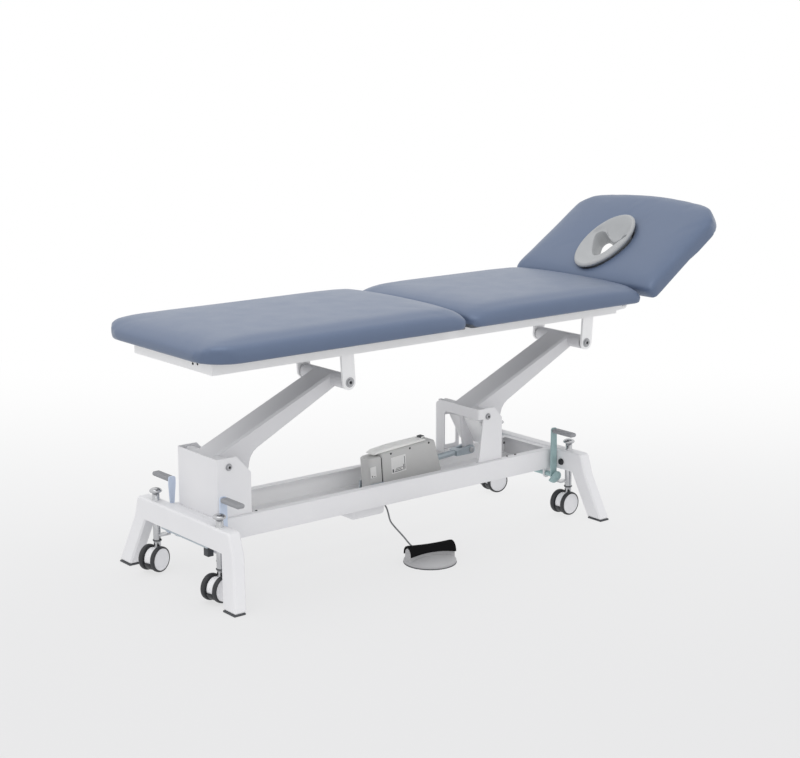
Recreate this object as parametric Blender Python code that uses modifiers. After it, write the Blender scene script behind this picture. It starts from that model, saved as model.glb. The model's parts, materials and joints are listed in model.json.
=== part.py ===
"""Three-section treatment table on a parallelogram lift, with retractable castors.

Metres, +Z up.  The table is modelled about the centre of its base: X runs from the
foot end (-X) to the head end (+X), and the near side is -Y.  The root empty then
moves the whole table so that the middle of its bounding box stands on the origin.
"""
from math import cos, pi, radians, sin, tan

import bmesh
import bpy
from mathutils import Matrix, Vector

for leftover in list(bpy.data.objects):
    bpy.data.objects.remove(leftover, do_unlink=True)

# Clearances
SEAT = 0.0003            # between pieces that rest on or fit in each other
RUNNING = 0.0004         # radial, round a pin or a sliding stem
SIDE_PLAY = 0.0010       # beside a part that turns between two cheeks

# Base: two bridges joined by a trough
BASE_LENGTH = 1.425
BASE_WIDTH = 0.624
BAR_WIDTH = 0.485        # bridge at its top, across the table
BAR_DEPTH = 0.040
BAR_HEIGHT = 0.064
BAR_TOP = 0.213
LEG_WIDTH = 0.062
LEG_RAKE = 0.0295        # how far a leg leans out lengthwise
BRIDGE_BEND = 0.014      # outer radius where bar turns into leg
BRIDGE_EDGE = 0.005
PAD_HEIGHT = 0.006
PAD_REVEAL = 0.001

TROUGH_WIDTH = 0.238
TROUGH_TOP = 0.210
TROUGH_HEIGHT = 0.064
TROUGH_LIP = 0.025
TROUGH_SHEET = 0.003
TROUGH_BEND = 0.006

# Lift: two towers, two parallel arms and the table top form a parallelogram
FOOT_PIVOT_X = -0.588
PIVOT_SPAN = 0.959
PIVOT_Z = 0.354
ARM_LENGTH = 0.454
ARM_ANGLE = radians(24.1)
ARM_WIDTH = 0.098
ARM_RISE = 0.0235        # top of the channel above the line of its pivots
ARM_DROP = 0.024         # lower edge below that line, at the upper end
ARM_WALL = 0.004
ARM_EDGE = 0.006
BOOT_REACH = 0.070       # deep lower end of the arm's side plates
BOOT_DROP = 0.094
HUB_RADIUS = 0.022
PIN_RADIUS = 0.008
PIN_HEAD_RADIUS = 0.013
PIN_HEAD = 0.004

TOWER_WIDTH = 0.211
TOWER_TOP = 0.380
TOWER_DEPTH = 0.112
TOWER_SETBACK = 0.039    # front plate ahead of the pivot
TOWER_SHEET = 0.004
TOWER_BEND = 0.014
WINDOW_WIDTH = 0.120
WINDOW_TOP = 0.348

# Actuator in the trough, driving a lever on the head end arm
DRIVE_TILT = radians(4.0)
LEVER_RADIUS = 0.125
LEVER_THICKNESS = 0.016
LEVER_EYE = 0.016
ROD_RADIUS = 0.010
ROD_LENGTH = 0.265
CLEVIS_CHEEK = 0.009
ROD_PIN_RADIUS = 0.006
HOUSING_GAP = 0.131      # housing front behind the rod pin
HOUSING_LENGTH = 0.235
HOUSING_WIDTH = 0.054
HOUSING_RISE = 0.073
HOUSING_LEAN = 0.0236    # its front edge, bottom to top
HOUSING_DROP = 0.040
HOUSING_EDGE = 0.006
ROD_SLOT_RISE = 0.026    # room for the rod's rise as the lever swings
ROD_SLOT_PLAY = 0.0035
ROD_SLOT_DEPTH = 0.215
COVER_HEIGHT = 0.010
COVER_WIDTH = 0.046
COVER_OVERHANG = 0.026
MOTOR_LENGTH = 0.049
MOTOR_RISE = 0.066
MOTOR_CORNER = 0.018
CRADLE_SHEET = 0.004
CRADLE_HEIGHT = 0.040

# Pan under the trough, where the foot switch cable comes out
PAN_X = -0.0825
PAN_LENGTH = 0.125
PAN_WIDTH = 0.170
PAN_DEPTH = 0.0377
PAN_EDGE = 0.012
GLAND_RADIUS = 0.007
GLAND_LENGTH = 0.015
GLAND_Y = -0.052
GLAND_RISE = 0.018       # gland above the pan's bottom
CABLE_DIAMETER = 0.005

# Foot switch on the floor
SWITCH_X = -0.001
SWITCH_Y = -0.272
SWITCH_TURN = radians(-13)
SWITCH_RADIUS = 0.078
SWITCH_RIM = 0.011
SWITCH_DOME = 0.026
RIDGE_RADIUS = 0.018
RIDGE_Z = 0.032
RIDGE_LENGTH = 0.146
SADDLE_LENGTH = 0.138
SADDLE_WALL = 0.005
SADDLE_SPREAD = radians(84)
SADDLE_WAIST = radians(56)
SADDLE_FLARE = 0.003
INLET_HEADING = radians(69)
INLET_RADIUS = 0.0055
INLET_LENGTH = 0.012
INLET_Z = 0.0075

# Retractable castors, pushed down by spiral cams on a pedal shaft at each end
STEM_Y = 0.169
STEM_RADIUS = 0.011
STEM_TOP = 0.236
STEM_BOTTOM = 0.090
CAP_RADIUS = 0.018
CAP_HEIGHT = 0.010
SPIGOT_RADIUS = 0.005
SPIGOT_LENGTH = 0.016
WHEEL_RADIUS = 0.038
WHEEL_WIDTH = 0.015
WHEEL_TRACK = 0.044
WHEEL_LIFT = 0.003       # wheel above the floor while the table stands on its feet
AXLE_RADIUS = 0.004
TRAIL = 0.016
FORK_WIDTH = 0.028
FORK_RADIUS = 0.030
FORK_CROWN = 0.012
TYRE = 0.007
CASTOR_HEADING = {"foot_near": 14, "foot_far": 19, "head_near": 3, "head_far": -8}

SHAFT_INSET = 0.033      # pedal shaft inside the middle of the bridge bar
SHAFT_Z = 0.127
SHAFT_RADIUS = 0.008
SHAFT_LENGTH = 0.310
CAM_Y = 0.151
CAM_WIDTH = 0.006
CAM_BASE = 0.0155
CAM_LIFT = 0.020
CAM_SWEEP = radians(75)
TAB_HEIGHT = 0.005
LEVER_Y = 0.1355
LEVER_PLATE = 0.005
LEVER_BAR_WIDTH = 0.022
LEVER_LEAN = 0.002
EAR_Y = 0.100
EAR_WIDTH = 0.006
EAR_RADIUS = 0.015
PEDAL_Z = 0.275
PEDAL_LENGTH = 0.088
PEDAL_HEIGHT = 0.013
PEDAL_DEPTH = 0.026
PEDAL_ROD_RADIUS = 0.0045

# Table top
FRAME_FOOT = -0.696
FRAME_OVERHANG = 0.0436   # rails past the head end hanger pin
FRAME_WIDTH = 0.408
FRAME_BOTTOM = 0.643
RAIL_WIDTH = 0.025
RAIL_HEIGHT = 0.040
CROSS_WIDTH = 0.040
LUG_SPREAD = 0.231       # outer faces of a pair of hanger lugs
LUG_WIDTH = 0.045
LUG_THICKNESS = 0.008
LUG_LEAN = 0.010         # a lug's root, outwards of its pin
WASHER = 0.005
WASHER_RADIUS = 0.018
BOARD = 0.010
BOARD_INSET = 0.014
CUSHION_WIDTH = 0.599
CUSHION_THICKNESS = 0.0415
CUSHION_CROWN = 0.006
CUSHION_DRAW = 0.006
CUSHION_ROLL = 0.140     # how far in its sides start to fall
LEG_END = -0.7655
LEG_CORNER = 0.085       # plan corners at the foot end
LEG_HINGE_X = 0.140
LEG_HINGE_Z = 0.716
SECTION_GAP = 0.016
MID_OVERHANG = 0.020      # middle cushion past the rails
BARREL_RADIUS = 0.004
LEAF = 0.003
LEAF_LENGTH = 0.440

# Head section, tilted up as it is used
HEAD_HINGE_GAP = 0.033    # hinge pin past the rails
HEAD_HINGE_Z = 0.672
HEAD_TILT = radians(35)
HEAD_START = 0.026
HEAD_LENGTH = 0.449
HEAD_CORNER = 0.135      # plan corners at the head end
HEAD_PIN_RADIUS = 0.007
EAR_REACH = 0.016
HEAD_BAR_WIDTH = 0.020
HEAD_BAR_HEIGHT = 0.020
HEAD_BAR_SPREAD = 0.356
HEAD_BAR_LENGTH = 0.320
RING_X = 0.189
RING_LENGTH = 0.265
RING_WIDTH = 0.202
RING_RIM = 0.018
RING_SEATING = 0.84      # hole in the cushion, as a share of the ring
RING_THROAT = 0.36
THROAT_WALL = 0.06

# Derived places
BAR_X = BASE_LENGTH / 2 - LEG_RAKE - BAR_DEPTH / 2
BAR_BOTTOM = BAR_TOP - BAR_HEIGHT
TROUGH_BOTTOM = TROUGH_TOP - TROUGH_HEIGHT
TROUGH_FLOOR = TROUGH_BOTTOM + TROUGH_SHEET
HEAD_PIVOT_X = FOOT_PIVOT_X + PIVOT_SPAN
ARM_RUN = ARM_LENGTH * cos(ARM_ANGLE)
HANGER_Z = PIVOT_Z + ARM_LENGTH * sin(ARM_ANGLE)
FRAME_HEAD = HEAD_PIVOT_X + ARM_RUN + FRAME_OVERHANG
MID_END = FRAME_HEAD + MID_OVERHANG
HEAD_HINGE_X = FRAME_HEAD + HEAD_HINGE_GAP
TOWER_FOOT = TROUGH_TOP + SEAT
TOWER_INNER = TOWER_WIDTH / 2 - TOWER_SHEET
LUG_INNER = LUG_SPREAD / 2 - LUG_THICKNESS
FRAME_TOP = FRAME_BOTTOM + RAIL_HEIGHT
BOARD_BOTTOM = FRAME_TOP + SEAT
CUSHION_BOTTOM = BOARD_BOTTOM + BOARD + SEAT
CUSHION_TOP = CUSHION_BOTTOM + CUSHION_THICKNESS
ROD_PIN_X = HEAD_PIVOT_X + LEVER_RADIUS * sin(DRIVE_TILT)
ROD_PIN_Z = PIVOT_Z - LEVER_RADIUS * cos(DRIVE_TILT)
SHAFT_X = BAR_X - SHAFT_INSET
WHEEL_Z = WHEEL_LIFT + WHEEL_RADIUS
PAN_BOTTOM = TROUGH_BOTTOM - SEAT - PAN_DEPTH
GLAND_X = PAN_X + PAN_LENGTH / 2 + SEAT
GLAND_Z = PAN_BOTTOM + GLAND_RISE
INLET_REACH = SWITCH_RADIUS + INLET_LENGTH
LEG_STOP = LEG_HINGE_X - SECTION_GAP / 2
MID_START = LEG_HINGE_X + SECTION_GAP / 2
LEG_SIDES = {"near": -1, "far": 1}
TABLE_ENDS = {"foot": -1, "head": 1}

# Route of the foot switch cable, from the gland's mouth to the switch's inlet
CABLE_ROUTE = [
    (GLAND_X + GLAND_LENGTH + SEAT, GLAND_Y, GLAND_Z),
    (GLAND_X + GLAND_LENGTH + SEAT + CABLE_DIAMETER, GLAND_Y, GLAND_Z),
    (0.0080, -0.0545, 0.1130),
    (0.0110, -0.0590, 0.0960),
    (0.0125, -0.0670, 0.0742),
    (0.0180, -0.0820, 0.0576),
    (0.0270, -0.1100, 0.0343),
    (0.0320, -0.1400, 0.0126),
    (0.0350, -0.1640, 0.0055),
    (SWITCH_X + (INLET_REACH + SEAT + CABLE_DIAMETER) * cos(INLET_HEADING),
     SWITCH_Y + (INLET_REACH + SEAT + CABLE_DIAMETER) * sin(INLET_HEADING), INLET_Z),
    (SWITCH_X + (INLET_REACH + SEAT) * cos(INLET_HEADING),
     SWITCH_Y + (INLET_REACH + SEAT) * sin(INLET_HEADING), INLET_Z),
]

parts = bpy.data.collections.new("treatment_table")
cutters = bpy.data.collections.new("cutters")
bpy.context.scene.collection.children.link(parts)
bpy.context.scene.collection.children.link(cutters)


# Materials
def paint(name, colour, roughness, metallic=0.0):
    material = bpy.data.materials.new(name)
    material.use_nodes = True
    shader = material.node_tree.nodes["Principled BSDF"]
    shader.inputs["Base Color"].default_value = (*colour, 1.0)
    shader.inputs["Roughness"].default_value = roughness
    shader.inputs["Metallic"].default_value = metallic
    return material


WHITE_STEEL = paint("white_powder_coat", (0.79, 0.79, 0.80), 0.45)
ZINC_STEEL = paint("zinc_plated_steel", (0.52, 0.60, 0.66), 0.35, 0.9)
CHROME = paint("chromed_steel", (0.72, 0.72, 0.73), 0.15, 1.0)
DARK_PLASTIC = paint("charcoal_plastic", (0.04, 0.04, 0.045), 0.6)
GREY_RUBBER = paint("grey_rubber", (0.21, 0.21, 0.22), 0.8)
GREY_PLASTIC = paint("grey_plastic", (0.45, 0.45, 0.44), 0.55)
PALE_PLASTIC = paint("pale_plastic", (0.62, 0.62, 0.62), 0.5)
WHITE_PLASTIC = paint("white_plastic", (0.83, 0.83, 0.84), 0.45)
BLACK_RUBBER = paint("black_rubber", (0.02, 0.02, 0.022), 0.8)
CABLE_GREY = paint("cable_grey", (0.20, 0.20, 0.21), 0.6)
PLYWOOD = paint("plywood", (0.42, 0.31, 0.20), 0.7)
LEATHERETTE = paint("blue_grey_leatherette", (0.25, 0.31, 0.40), 0.5)
SOFT_FOAM = paint("moulded_foam", (0.58, 0.59, 0.60), 0.6)


# Assembly: empties on the joint axes, and pieces under them
def pivot(name, place, parent=None):
    empty = bpy.data.objects.new(name, None)
    empty.empty_display_size = 0.05
    parts.objects.link(empty)
    if parent:
        empty.parent = parent
        empty.matrix_parent_inverse = Matrix.Translation(-world_place(parent))
    empty.location = place
    return empty


def world_place(empty):
    return Vector(empty.location)


def piece(name, solid, material, parent):
    solid.name = name
    solid.data.name = name
    solid.data.materials.clear()
    solid.data.materials.append(material)
    cutters.objects.unlink(solid)
    parts.objects.link(solid)
    solid.parent = parent
    solid.matrix_parent_inverse = Matrix.Translation(-world_place(parent))
    solid.data.shade_smooth()
    solid.data.set_sharp_from_angle(angle=radians(35))
    return solid


# Modelling steps
def rough(mesh_or_curve, name="rough"):
    solid = bpy.data.objects.new(name, mesh_or_curve)
    solid.display_type = "WIRE"
    cutters.objects.link(solid)
    return solid


def from_bmesh(shape):
    mesh = bpy.data.meshes.new("rough")
    shape.to_mesh(mesh)
    shape.free()
    return rough(mesh)


def bake(solid):
    evaluated = solid.evaluated_get(bpy.context.evaluated_depsgraph_get())
    mesh = bpy.data.meshes.new_from_object(evaluated)
    solid.modifiers.clear()
    if solid.type == "MESH":
        solid.data = mesh
        return solid
    bpy.data.objects.remove(solid, do_unlink=True)
    return rough(mesh)


def tidy(solid):
    shape = bmesh.new()
    shape.from_mesh(solid.data)
    bmesh.ops.remove_doubles(shape, verts=shape.verts, dist=0.00001)
    bmesh.ops.recalc_face_normals(shape, faces=shape.faces)
    shape.to_mesh(solid.data)
    shape.free()
    return solid


def moved(solid, matrix):
    solid.data.transform(matrix)
    if matrix.is_negative:
        solid.data.flip_normals()
    return solid


def combine(target, tool, operation):
    step = target.modifiers.new(operation.lower(), "BOOLEAN")
    step.operation = operation
    step.solver = "EXACT"
    step.object = tool
    bake(target)
    bpy.data.objects.remove(tool, do_unlink=True)
    return target


def weld(target, *tools):
    for tool in tools:
        combine(target, tool, "UNION")
    return target


def cut(target, *tools):
    for tool in tools:
        combine(target, tool, "DIFFERENCE")
    return target


def rounded(solid, width, segments=2, angle=30):
    step = solid.modifiers.new("rounded", "BEVEL")
    step.width = width
    step.segments = segments
    step.limit_method = "ANGLE"
    step.angle_limit = radians(angle)
    return bake(solid)


def block(low, high):
    shape = bmesh.new()
    bmesh.ops.create_cube(shape, size=1.0)
    low = Vector(low)
    high = Vector(high)
    bmesh.ops.scale(shape, vec=high - low, verts=shape.verts)
    bmesh.ops.translate(shape, vec=(low + high) / 2, verts=shape.verts)
    return from_bmesh(shape)


def aimed(place, axis):
    turn = Vector((0, 0, 1)).rotation_difference(Vector(axis)).to_matrix().to_4x4()
    return Matrix.Translation(place) @ turn


def rod(radius, start, end, sides=16):
    start = Vector(start)
    end = Vector(end)
    shape = bmesh.new()
    bmesh.ops.create_cone(shape, cap_ends=True, segments=sides, radius1=radius,
                          radius2=radius, depth=(end - start).length)
    bmesh.ops.transform(shape, matrix=aimed((start + end) / 2, end - start), verts=shape.verts)
    return from_bmesh(shape)


def turned(profile, sides=24, place=None, closed=False):
    """Lathe work: (radius, height) points, running down the outer side."""
    shape = bmesh.new()
    corners = [shape.verts.new((radius, 0, height)) for radius, height in profile]
    for first, second in zip(corners, corners[1:]):
        shape.edges.new((first, second))
    if closed:
        shape.edges.new((corners[-1], corners[0]))
    solid = from_bmesh(shape)
    step = solid.modifiers.new("lathe", "SCREW")
    step.steps = sides
    step.render_steps = sides
    step.use_merge_vertices = True
    step.merge_threshold = 0.00001
    bake(solid)
    tidy(solid)
    return moved(solid, place) if place else solid


def outline(corners, steps=4):
    """Corner points (x, y, fillet radius) to a closed outline with arcs."""
    points = []
    count = len(corners)
    for index, (x, y, radius) in enumerate(corners):
        here = Vector((x, y))
        if radius <= 0:
            points.append((x, y))
            continue
        before = (Vector(corners[index - 1][:2]) - here).normalized()
        after = (Vector(corners[(index + 1) % count][:2]) - here).normalized()
        half = before.angle(after) / 2
        centre = here + (before + after).normalized() * radius / sin(half)
        start = here + before * radius / tan(half) - centre
        end = here + after * radius / tan(half) - centre
        sweep = start.angle_signed(end)
        for step in range(steps + 1):
            spoke = start.copy()
            spoke.rotate(Matrix.Rotation(-sweep * step / steps, 2))
            points.append(tuple(centre + spoke))
    return points


def ellipse(half_length, half_width, sides=32, centre=(0, 0)):
    angles = [2 * pi * index / sides for index in range(sides)]
    return [(centre[0] + half_length * cos(a), centre[1] + half_width * sin(a)) for a in angles]


def plate(thickness, place, *loops):
    """Flat outline, then any holes, as a filled curve of the given thickness."""
    curve = bpy.data.curves.new("outline", "CURVE")
    curve.dimensions = "2D"
    curve.fill_mode = "BOTH"
    curve.extrude = thickness / 2
    for loop in loops:
        spline = curve.splines.new("POLY")
        spline.points.add(len(loop) - 1)
        for point, (x, y) in zip(spline.points, loop):
            point.co = (x, y, 0, 1)
        spline.use_cyclic_u = True
    solid = tidy(bake(rough(curve)))
    return moved(solid, place)


def prism(thickness, place, loop, panels=None):
    """Outline with one whole face on each side, or the panels given by their corners."""
    shape = bmesh.new()
    corners = [shape.verts.new((x, y, -thickness / 2)) for x, y in loop]
    for panel in panels or [range(len(loop))]:
        shape.faces.new([corners[index] for index in panel])
    raised = bmesh.ops.extrude_face_region(shape, geom=shape.faces[:])
    lifted = [item for item in raised["geom"] if isinstance(item, bmesh.types.BMVert)]
    bmesh.ops.translate(shape, vec=(0, 0, thickness), verts=lifted)
    bmesh.ops.recalc_face_normals(shape, faces=shape.faces)
    solid = from_bmesh(shape)
    return moved(solid, place)


def side_view(x=0.0, y=0.0, z=0.0):
    """Outline (x, z) drawn in the table's side view, its thickness across the table."""
    return Matrix.Translation((x, y, z)) @ Matrix.Rotation(pi / 2, 4, "X")


def end_view(x=0.0):
    """Outline (y, z) drawn in the table's end view, its thickness along the table."""
    turn = Matrix(((0, 0, 1, 0), (1, 0, 0, 0), (0, 1, 0, 0), (0, 0, 0, 1)))
    return Matrix.Translation((x, 0, 0)) @ turn


def folded(section, thickness, travel, bend=0.0, inwards=1):
    """Open section of points drawn along a travel, as bent sheet metal."""
    shape = bmesh.new()
    corners = [shape.verts.new(point) for point in section]
    for first, second in zip(corners, corners[1:]):
        shape.edges.new((first, second))
    if bend:
        bmesh.ops.bevel(shape, geom=corners[1:-1], affect="VERTICES", offset=bend * 0.6, segments=2,
                        profile=0.5)
    raised = bmesh.ops.extrude_edge_only(shape, edges=shape.edges[:])
    lifted = [item for item in raised["geom"] if isinstance(item, bmesh.types.BMVert)]
    bmesh.ops.translate(shape, vec=travel, verts=lifted)
    bmesh.ops.recalc_face_normals(shape, faces=shape.faces)
    solid = from_bmesh(shape)
    step = solid.modifiers.new("sheet", "SOLIDIFY")
    step.thickness = thickness
    step.offset = -inwards
    step.use_even_offset = True
    return tidy(bake(solid))


def soft_pad(low, high, corner_low, corner_high, corner_side, crown, draw):
    """Crowned cushion from a coarse cage: sides drawn in between its corners, flat below."""
    low = Vector(low)
    high = Vector(high)
    middle = (low + high) / 2
    columns = [low.x, low.x + corner_low, middle.x, high.x - corner_high, high.x]
    rows = [low.y, low.y + corner_side, middle.y, high.y - corner_side, high.y]
    shape = bmesh.new()
    grid = bmesh.ops.create_grid(shape, x_segments=4, y_segments=4, size=2)
    for vert in grid["verts"]:
        across = round(vert.co.y) + 2
        along = round(vert.co.x) + 2
        vert.co = (columns[along], rows[across], low.z)
    floor_faces = shape.faces[:]
    raised = bmesh.ops.extrude_face_region(shape, geom=floor_faces)
    lifted = [item for item in raised["geom"] if isinstance(item, bmesh.types.BMVert)]
    bmesh.ops.translate(shape, vec=(0, 0, high.z - low.z), verts=lifted)
    for vert in lifted:
        if vert.co.x == columns[2] and vert.co.y == rows[2]:
            vert.co.z += crown * 2
    for vert in shape.verts:
        if vert.co.y == rows[2]:
            inward = 1 if vert.co.x == columns[0] else -1 if vert.co.x == columns[4] else 0
            vert.co.x += inward * draw
        if vert.co.x == columns[2]:
            inward = 1 if vert.co.y == rows[0] else -1 if vert.co.y == rows[4] else 0
            vert.co.y += inward * draw
    bmesh.ops.recalc_face_normals(shape, faces=shape.faces)
    solid = from_bmesh(shape)
    step = solid.modifiers.new("soft", "SUBSURF")
    step.levels = 2
    step.render_levels = 2
    bake(solid)
    fit(solid, low, Vector((high.x, high.y, high.z + crown)))
    return flat_below(solid, low.z)


def flat_below(solid, floor):
    """The level underside as one face."""
    shape = bmesh.new()
    shape.from_mesh(solid.data)
    level = [face for face in shape.faces if max(vert.co.z for vert in face.verts) < floor + SEAT / 10]
    bmesh.ops.dissolve_faces(shape, faces=level)
    shape.to_mesh(solid.data)
    shape.free()
    return solid


def fit(solid, low, high):
    places = [vert.co for vert in solid.data.vertices]
    for axis in range(3):
        least = min(place[axis] for place in places)
        most = max(place[axis] for place in places)
        share = (high[axis] - low[axis]) / (most - least)
        for place in places:
            place[axis] = low[axis] + (place[axis] - least) * share


# Base
def bridge(end):
    """Crossbar and two splayed legs, bent from one box section."""
    lean = (BASE_WIDTH - BAR_WIDTH) / 2 / BAR_TOP
    outer = BASE_WIDTH / 2 - lean * PAD_HEIGHT
    inner = outer - LEG_WIDTH
    inner_top = BASE_WIDTH / 2 - LEG_WIDTH - lean * BAR_BOTTOM
    half = [(BAR_WIDTH / 2, BAR_TOP, BRIDGE_BEND), (inner_top + LEG_WIDTH, BAR_BOTTOM, 0),
            (outer, PAD_HEIGHT, 0), (inner, PAD_HEIGHT, 0), (inner_top, BAR_BOTTOM, 0)]
    mirrored = [(-y, z, radius) for y, z, radius in reversed(half)]
    loop = outline(half + mirrored, steps=5)
    bend = len(loop) // 2 - 4
    one_leg = [bend, bend + 1, bend + 2, bend + 3]
    other_leg = [index + 4 for index in one_leg]
    bar = [*range(bend + 1), bend + 3, bend + 4, *range(bend + 7, len(loop))]
    solid = prism(BAR_DEPTH, end_view(end * BAR_X), loop, [bar, one_leg, other_leg])
    for vert in solid.data.vertices:
        if vert.co.z < BAR_BOTTOM - SEAT:
            vert.co.x += end * LEG_RAKE * (BAR_BOTTOM - vert.co.z) / BAR_BOTTOM
    rounded(solid, BRIDGE_EDGE, segments=1, angle=40)
    for side in LEG_SIDES.values():
        stem_hole = rod(STEM_RADIUS + RUNNING, (end * BAR_X, side * STEM_Y, BAR_BOTTOM - 0.02),
                        (end * BAR_X, side * STEM_Y, BAR_TOP + 0.02))
        cut(solid, stem_hole)
    return solid


def foot_pad(end, side):
    """Moulded foot under a leg: a tread with a chamfered edge."""
    lean = (BASE_WIDTH - BAR_WIDTH) / 2 / BAR_TOP
    x = end * (BAR_X + LEG_RAKE)
    y = side * (BASE_WIDTH / 2 - LEG_WIDTH / 2 - lean * PAD_HEIGHT)
    half = Vector((BAR_DEPTH / 2 + PAD_REVEAL, LEG_WIDTH / 2 + PAD_REVEAL, 0))
    low = Vector((x, y, 0)) - half
    high = Vector((x, y, PAD_HEIGHT - SEAT)) + half
    return rounded(block(low, high), PAD_REVEAL * 1.5, segments=1)


def trough():
    """C-section sheet with turned-in lips, and bearing ears for the pedal shafts."""
    half = TROUGH_WIDTH / 2
    start = -(BAR_X - BAR_DEPTH / 2 - SEAT)
    section = [(start, -half + TROUGH_LIP, TROUGH_TOP), (start, -half, TROUGH_TOP),
               (start, -half, TROUGH_BOTTOM), (start, half, TROUGH_BOTTOM),
               (start, half, TROUGH_TOP), (start, half - TROUGH_LIP, TROUGH_TOP)]
    solid = folded(section, TROUGH_SHEET, (-2 * start, 0, 0), TROUGH_BEND)
    for end in TABLE_ENDS.values():
        for side in LEG_SIDES.values():
            ear = outline([(-EAR_RADIUS, TROUGH_BOTTOM + TROUGH_SHEET / 2 - SHAFT_Z, 0),
                           (-EAR_RADIUS, -EAR_RADIUS, EAR_RADIUS * 0.9),
                           (EAR_RADIUS * 0.8, -EAR_RADIUS, EAR_RADIUS * 0.8),
                           (EAR_RADIUS * 0.8, TROUGH_BOTTOM + TROUGH_SHEET / 2 - SHAFT_Z, 0)])
            place = side_view(end * SHAFT_X, side * EAR_Y, SHAFT_Z)
            weld(solid, prism(EAR_WIDTH, place, [(-end * x, z) for x, z in ear]))
        cut(solid, rod(SHAFT_RADIUS + RUNNING, (end * SHAFT_X, -SHAFT_LENGTH / 2, SHAFT_Z),
                       (end * SHAFT_X, SHAFT_LENGTH / 2, SHAFT_Z)))
    return solid


def tower(pivot_x, window):
    """Bent plate with two cheeks that carry an arm's lower pin."""
    half = TOWER_WIDTH / 2
    front = pivot_x - TOWER_SETBACK
    back = front + TOWER_DEPTH
    section = [(back, -half, TOWER_FOOT), (front, -half, TOWER_FOOT),
               (front, half, TOWER_FOOT), (back, half, TOWER_FOOT)]
    solid = folded(section, TOWER_SHEET, (0, 0, TOWER_TOP - TOWER_FOOT), TOWER_BEND)
    shoulder = TOWER_TOP - PIVOT_Z
    trim = outline([(shoulder, shoulder, 0), (TOWER_DEPTH, shoulder, 0), (TOWER_DEPTH, -shoulder, 0),
                    (TOWER_DEPTH - TOWER_SETBACK + SEAT, -shoulder, 0)])
    above = [(x, z + SEAT) for x, z in trim]
    cut(solid, prism(TOWER_WIDTH * 1.2, side_view(pivot_x, 0, PIVOT_Z), above))
    cut(solid, rod(PIN_RADIUS + RUNNING, (pivot_x, -TOWER_WIDTH, PIVOT_Z), (pivot_x, TOWER_WIDTH, PIVOT_Z)))
    if window:
        opening = outline([(-WINDOW_WIDTH / 2, TOWER_FOOT - TOWER_SHEET, 0),
                           (-WINDOW_WIDTH / 2, WINDOW_TOP, TOWER_BEND),
                           (WINDOW_WIDTH / 2, WINDOW_TOP, TOWER_BEND),
                           (WINDOW_WIDTH / 2, TOWER_FOOT - TOWER_SHEET, 0)])
        cut(solid, prism(TOWER_SHEET * 4, end_view(front), opening))
    return solid


def pivot_pin(x, z, reach, collar=None):
    """Turned pin with a head outside each cheek, and collars where washers sit."""
    half = [(0, reach + SEAT + PIN_HEAD), (PIN_HEAD_RADIUS, reach + SEAT + PIN_HEAD),
            (PIN_HEAD_RADIUS, reach + SEAT), (PIN_RADIUS, reach + SEAT)]
    if collar:
        half += [(PIN_RADIUS, collar), (WASHER_RADIUS, collar),
                 (WASHER_RADIUS, collar - WASHER + SIDE_PLAY), (PIN_RADIUS, collar - WASHER + SIDE_PLAY)]
    profile = half + [(radius, -height) for radius, height in reversed(half)]
    return turned(profile, 12, aimed((x, 0, z), (0, 1, 0)))


# Lift arms
def arm(pivot_x):
    """Folded channel with a deep boot at its lower pivot, and a hub tube at each end."""
    end = ARM_LENGTH
    shell = [(-HUB_RADIUS, 0, HUB_RADIUS * 0.7), (-HUB_RADIUS * 0.6, ARM_RISE, HUB_RADIUS * 0.5),
             (end, ARM_RISE - 0.001, 0), (end, -ARM_DROP + 0.003, 0),
             (BOOT_REACH * 1.55, -ARM_DROP - 0.014, BOOT_REACH * 0.75),
             (BOOT_REACH, -BOOT_DROP, BOOT_REACH * 0.25),
             (BOOT_REACH * 0.35, -BOOT_DROP, BOOT_REACH * 0.25)]
    hollow = [(-HUB_RADIUS * 0.5, -0.001, 0), (-HUB_RADIUS * 0.25, ARM_RISE - ARM_WALL, 0),
              (end * 1.1, ARM_RISE - ARM_WALL, 0), (end * 1.1, -BOOT_DROP * 1.5, 0),
              (BOOT_REACH * 0.2, -BOOT_DROP * 1.5, 0)]
    lean = Matrix.Translation((pivot_x, 0, PIVOT_Z)) @ Matrix.Rotation(-ARM_ANGLE, 4, "Y") @ side_view()
    solid = rounded(prism(ARM_WIDTH, lean, outline(shell, steps=3)), ARM_EDGE, segments=1, angle=60)
    cut(solid, prism(ARM_WIDTH - 2 * ARM_WALL, lean, outline(hollow)))
    top_x = pivot_x + ARM_RUN
    lower = TOWER_INNER - SIDE_PLAY
    upper = LUG_INNER - WASHER - SIDE_PLAY
    weld(solid, rod(HUB_RADIUS, (pivot_x, -lower, PIVOT_Z), (pivot_x, lower, PIVOT_Z), 20),
         rod(HUB_RADIUS, (top_x, -upper, HANGER_Z), (top_x, upper, HANGER_Z), 20))
    return solid


def bored(solid, pivot_x):
    for x, z in ((pivot_x, PIVOT_Z), (pivot_x + ARM_RUN, HANGER_Z)):
        cut(solid, rod(PIN_RADIUS + RUNNING, (x, -ARM_WIDTH * 2, z), (x, ARM_WIDTH * 2, z)))
    return solid


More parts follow.
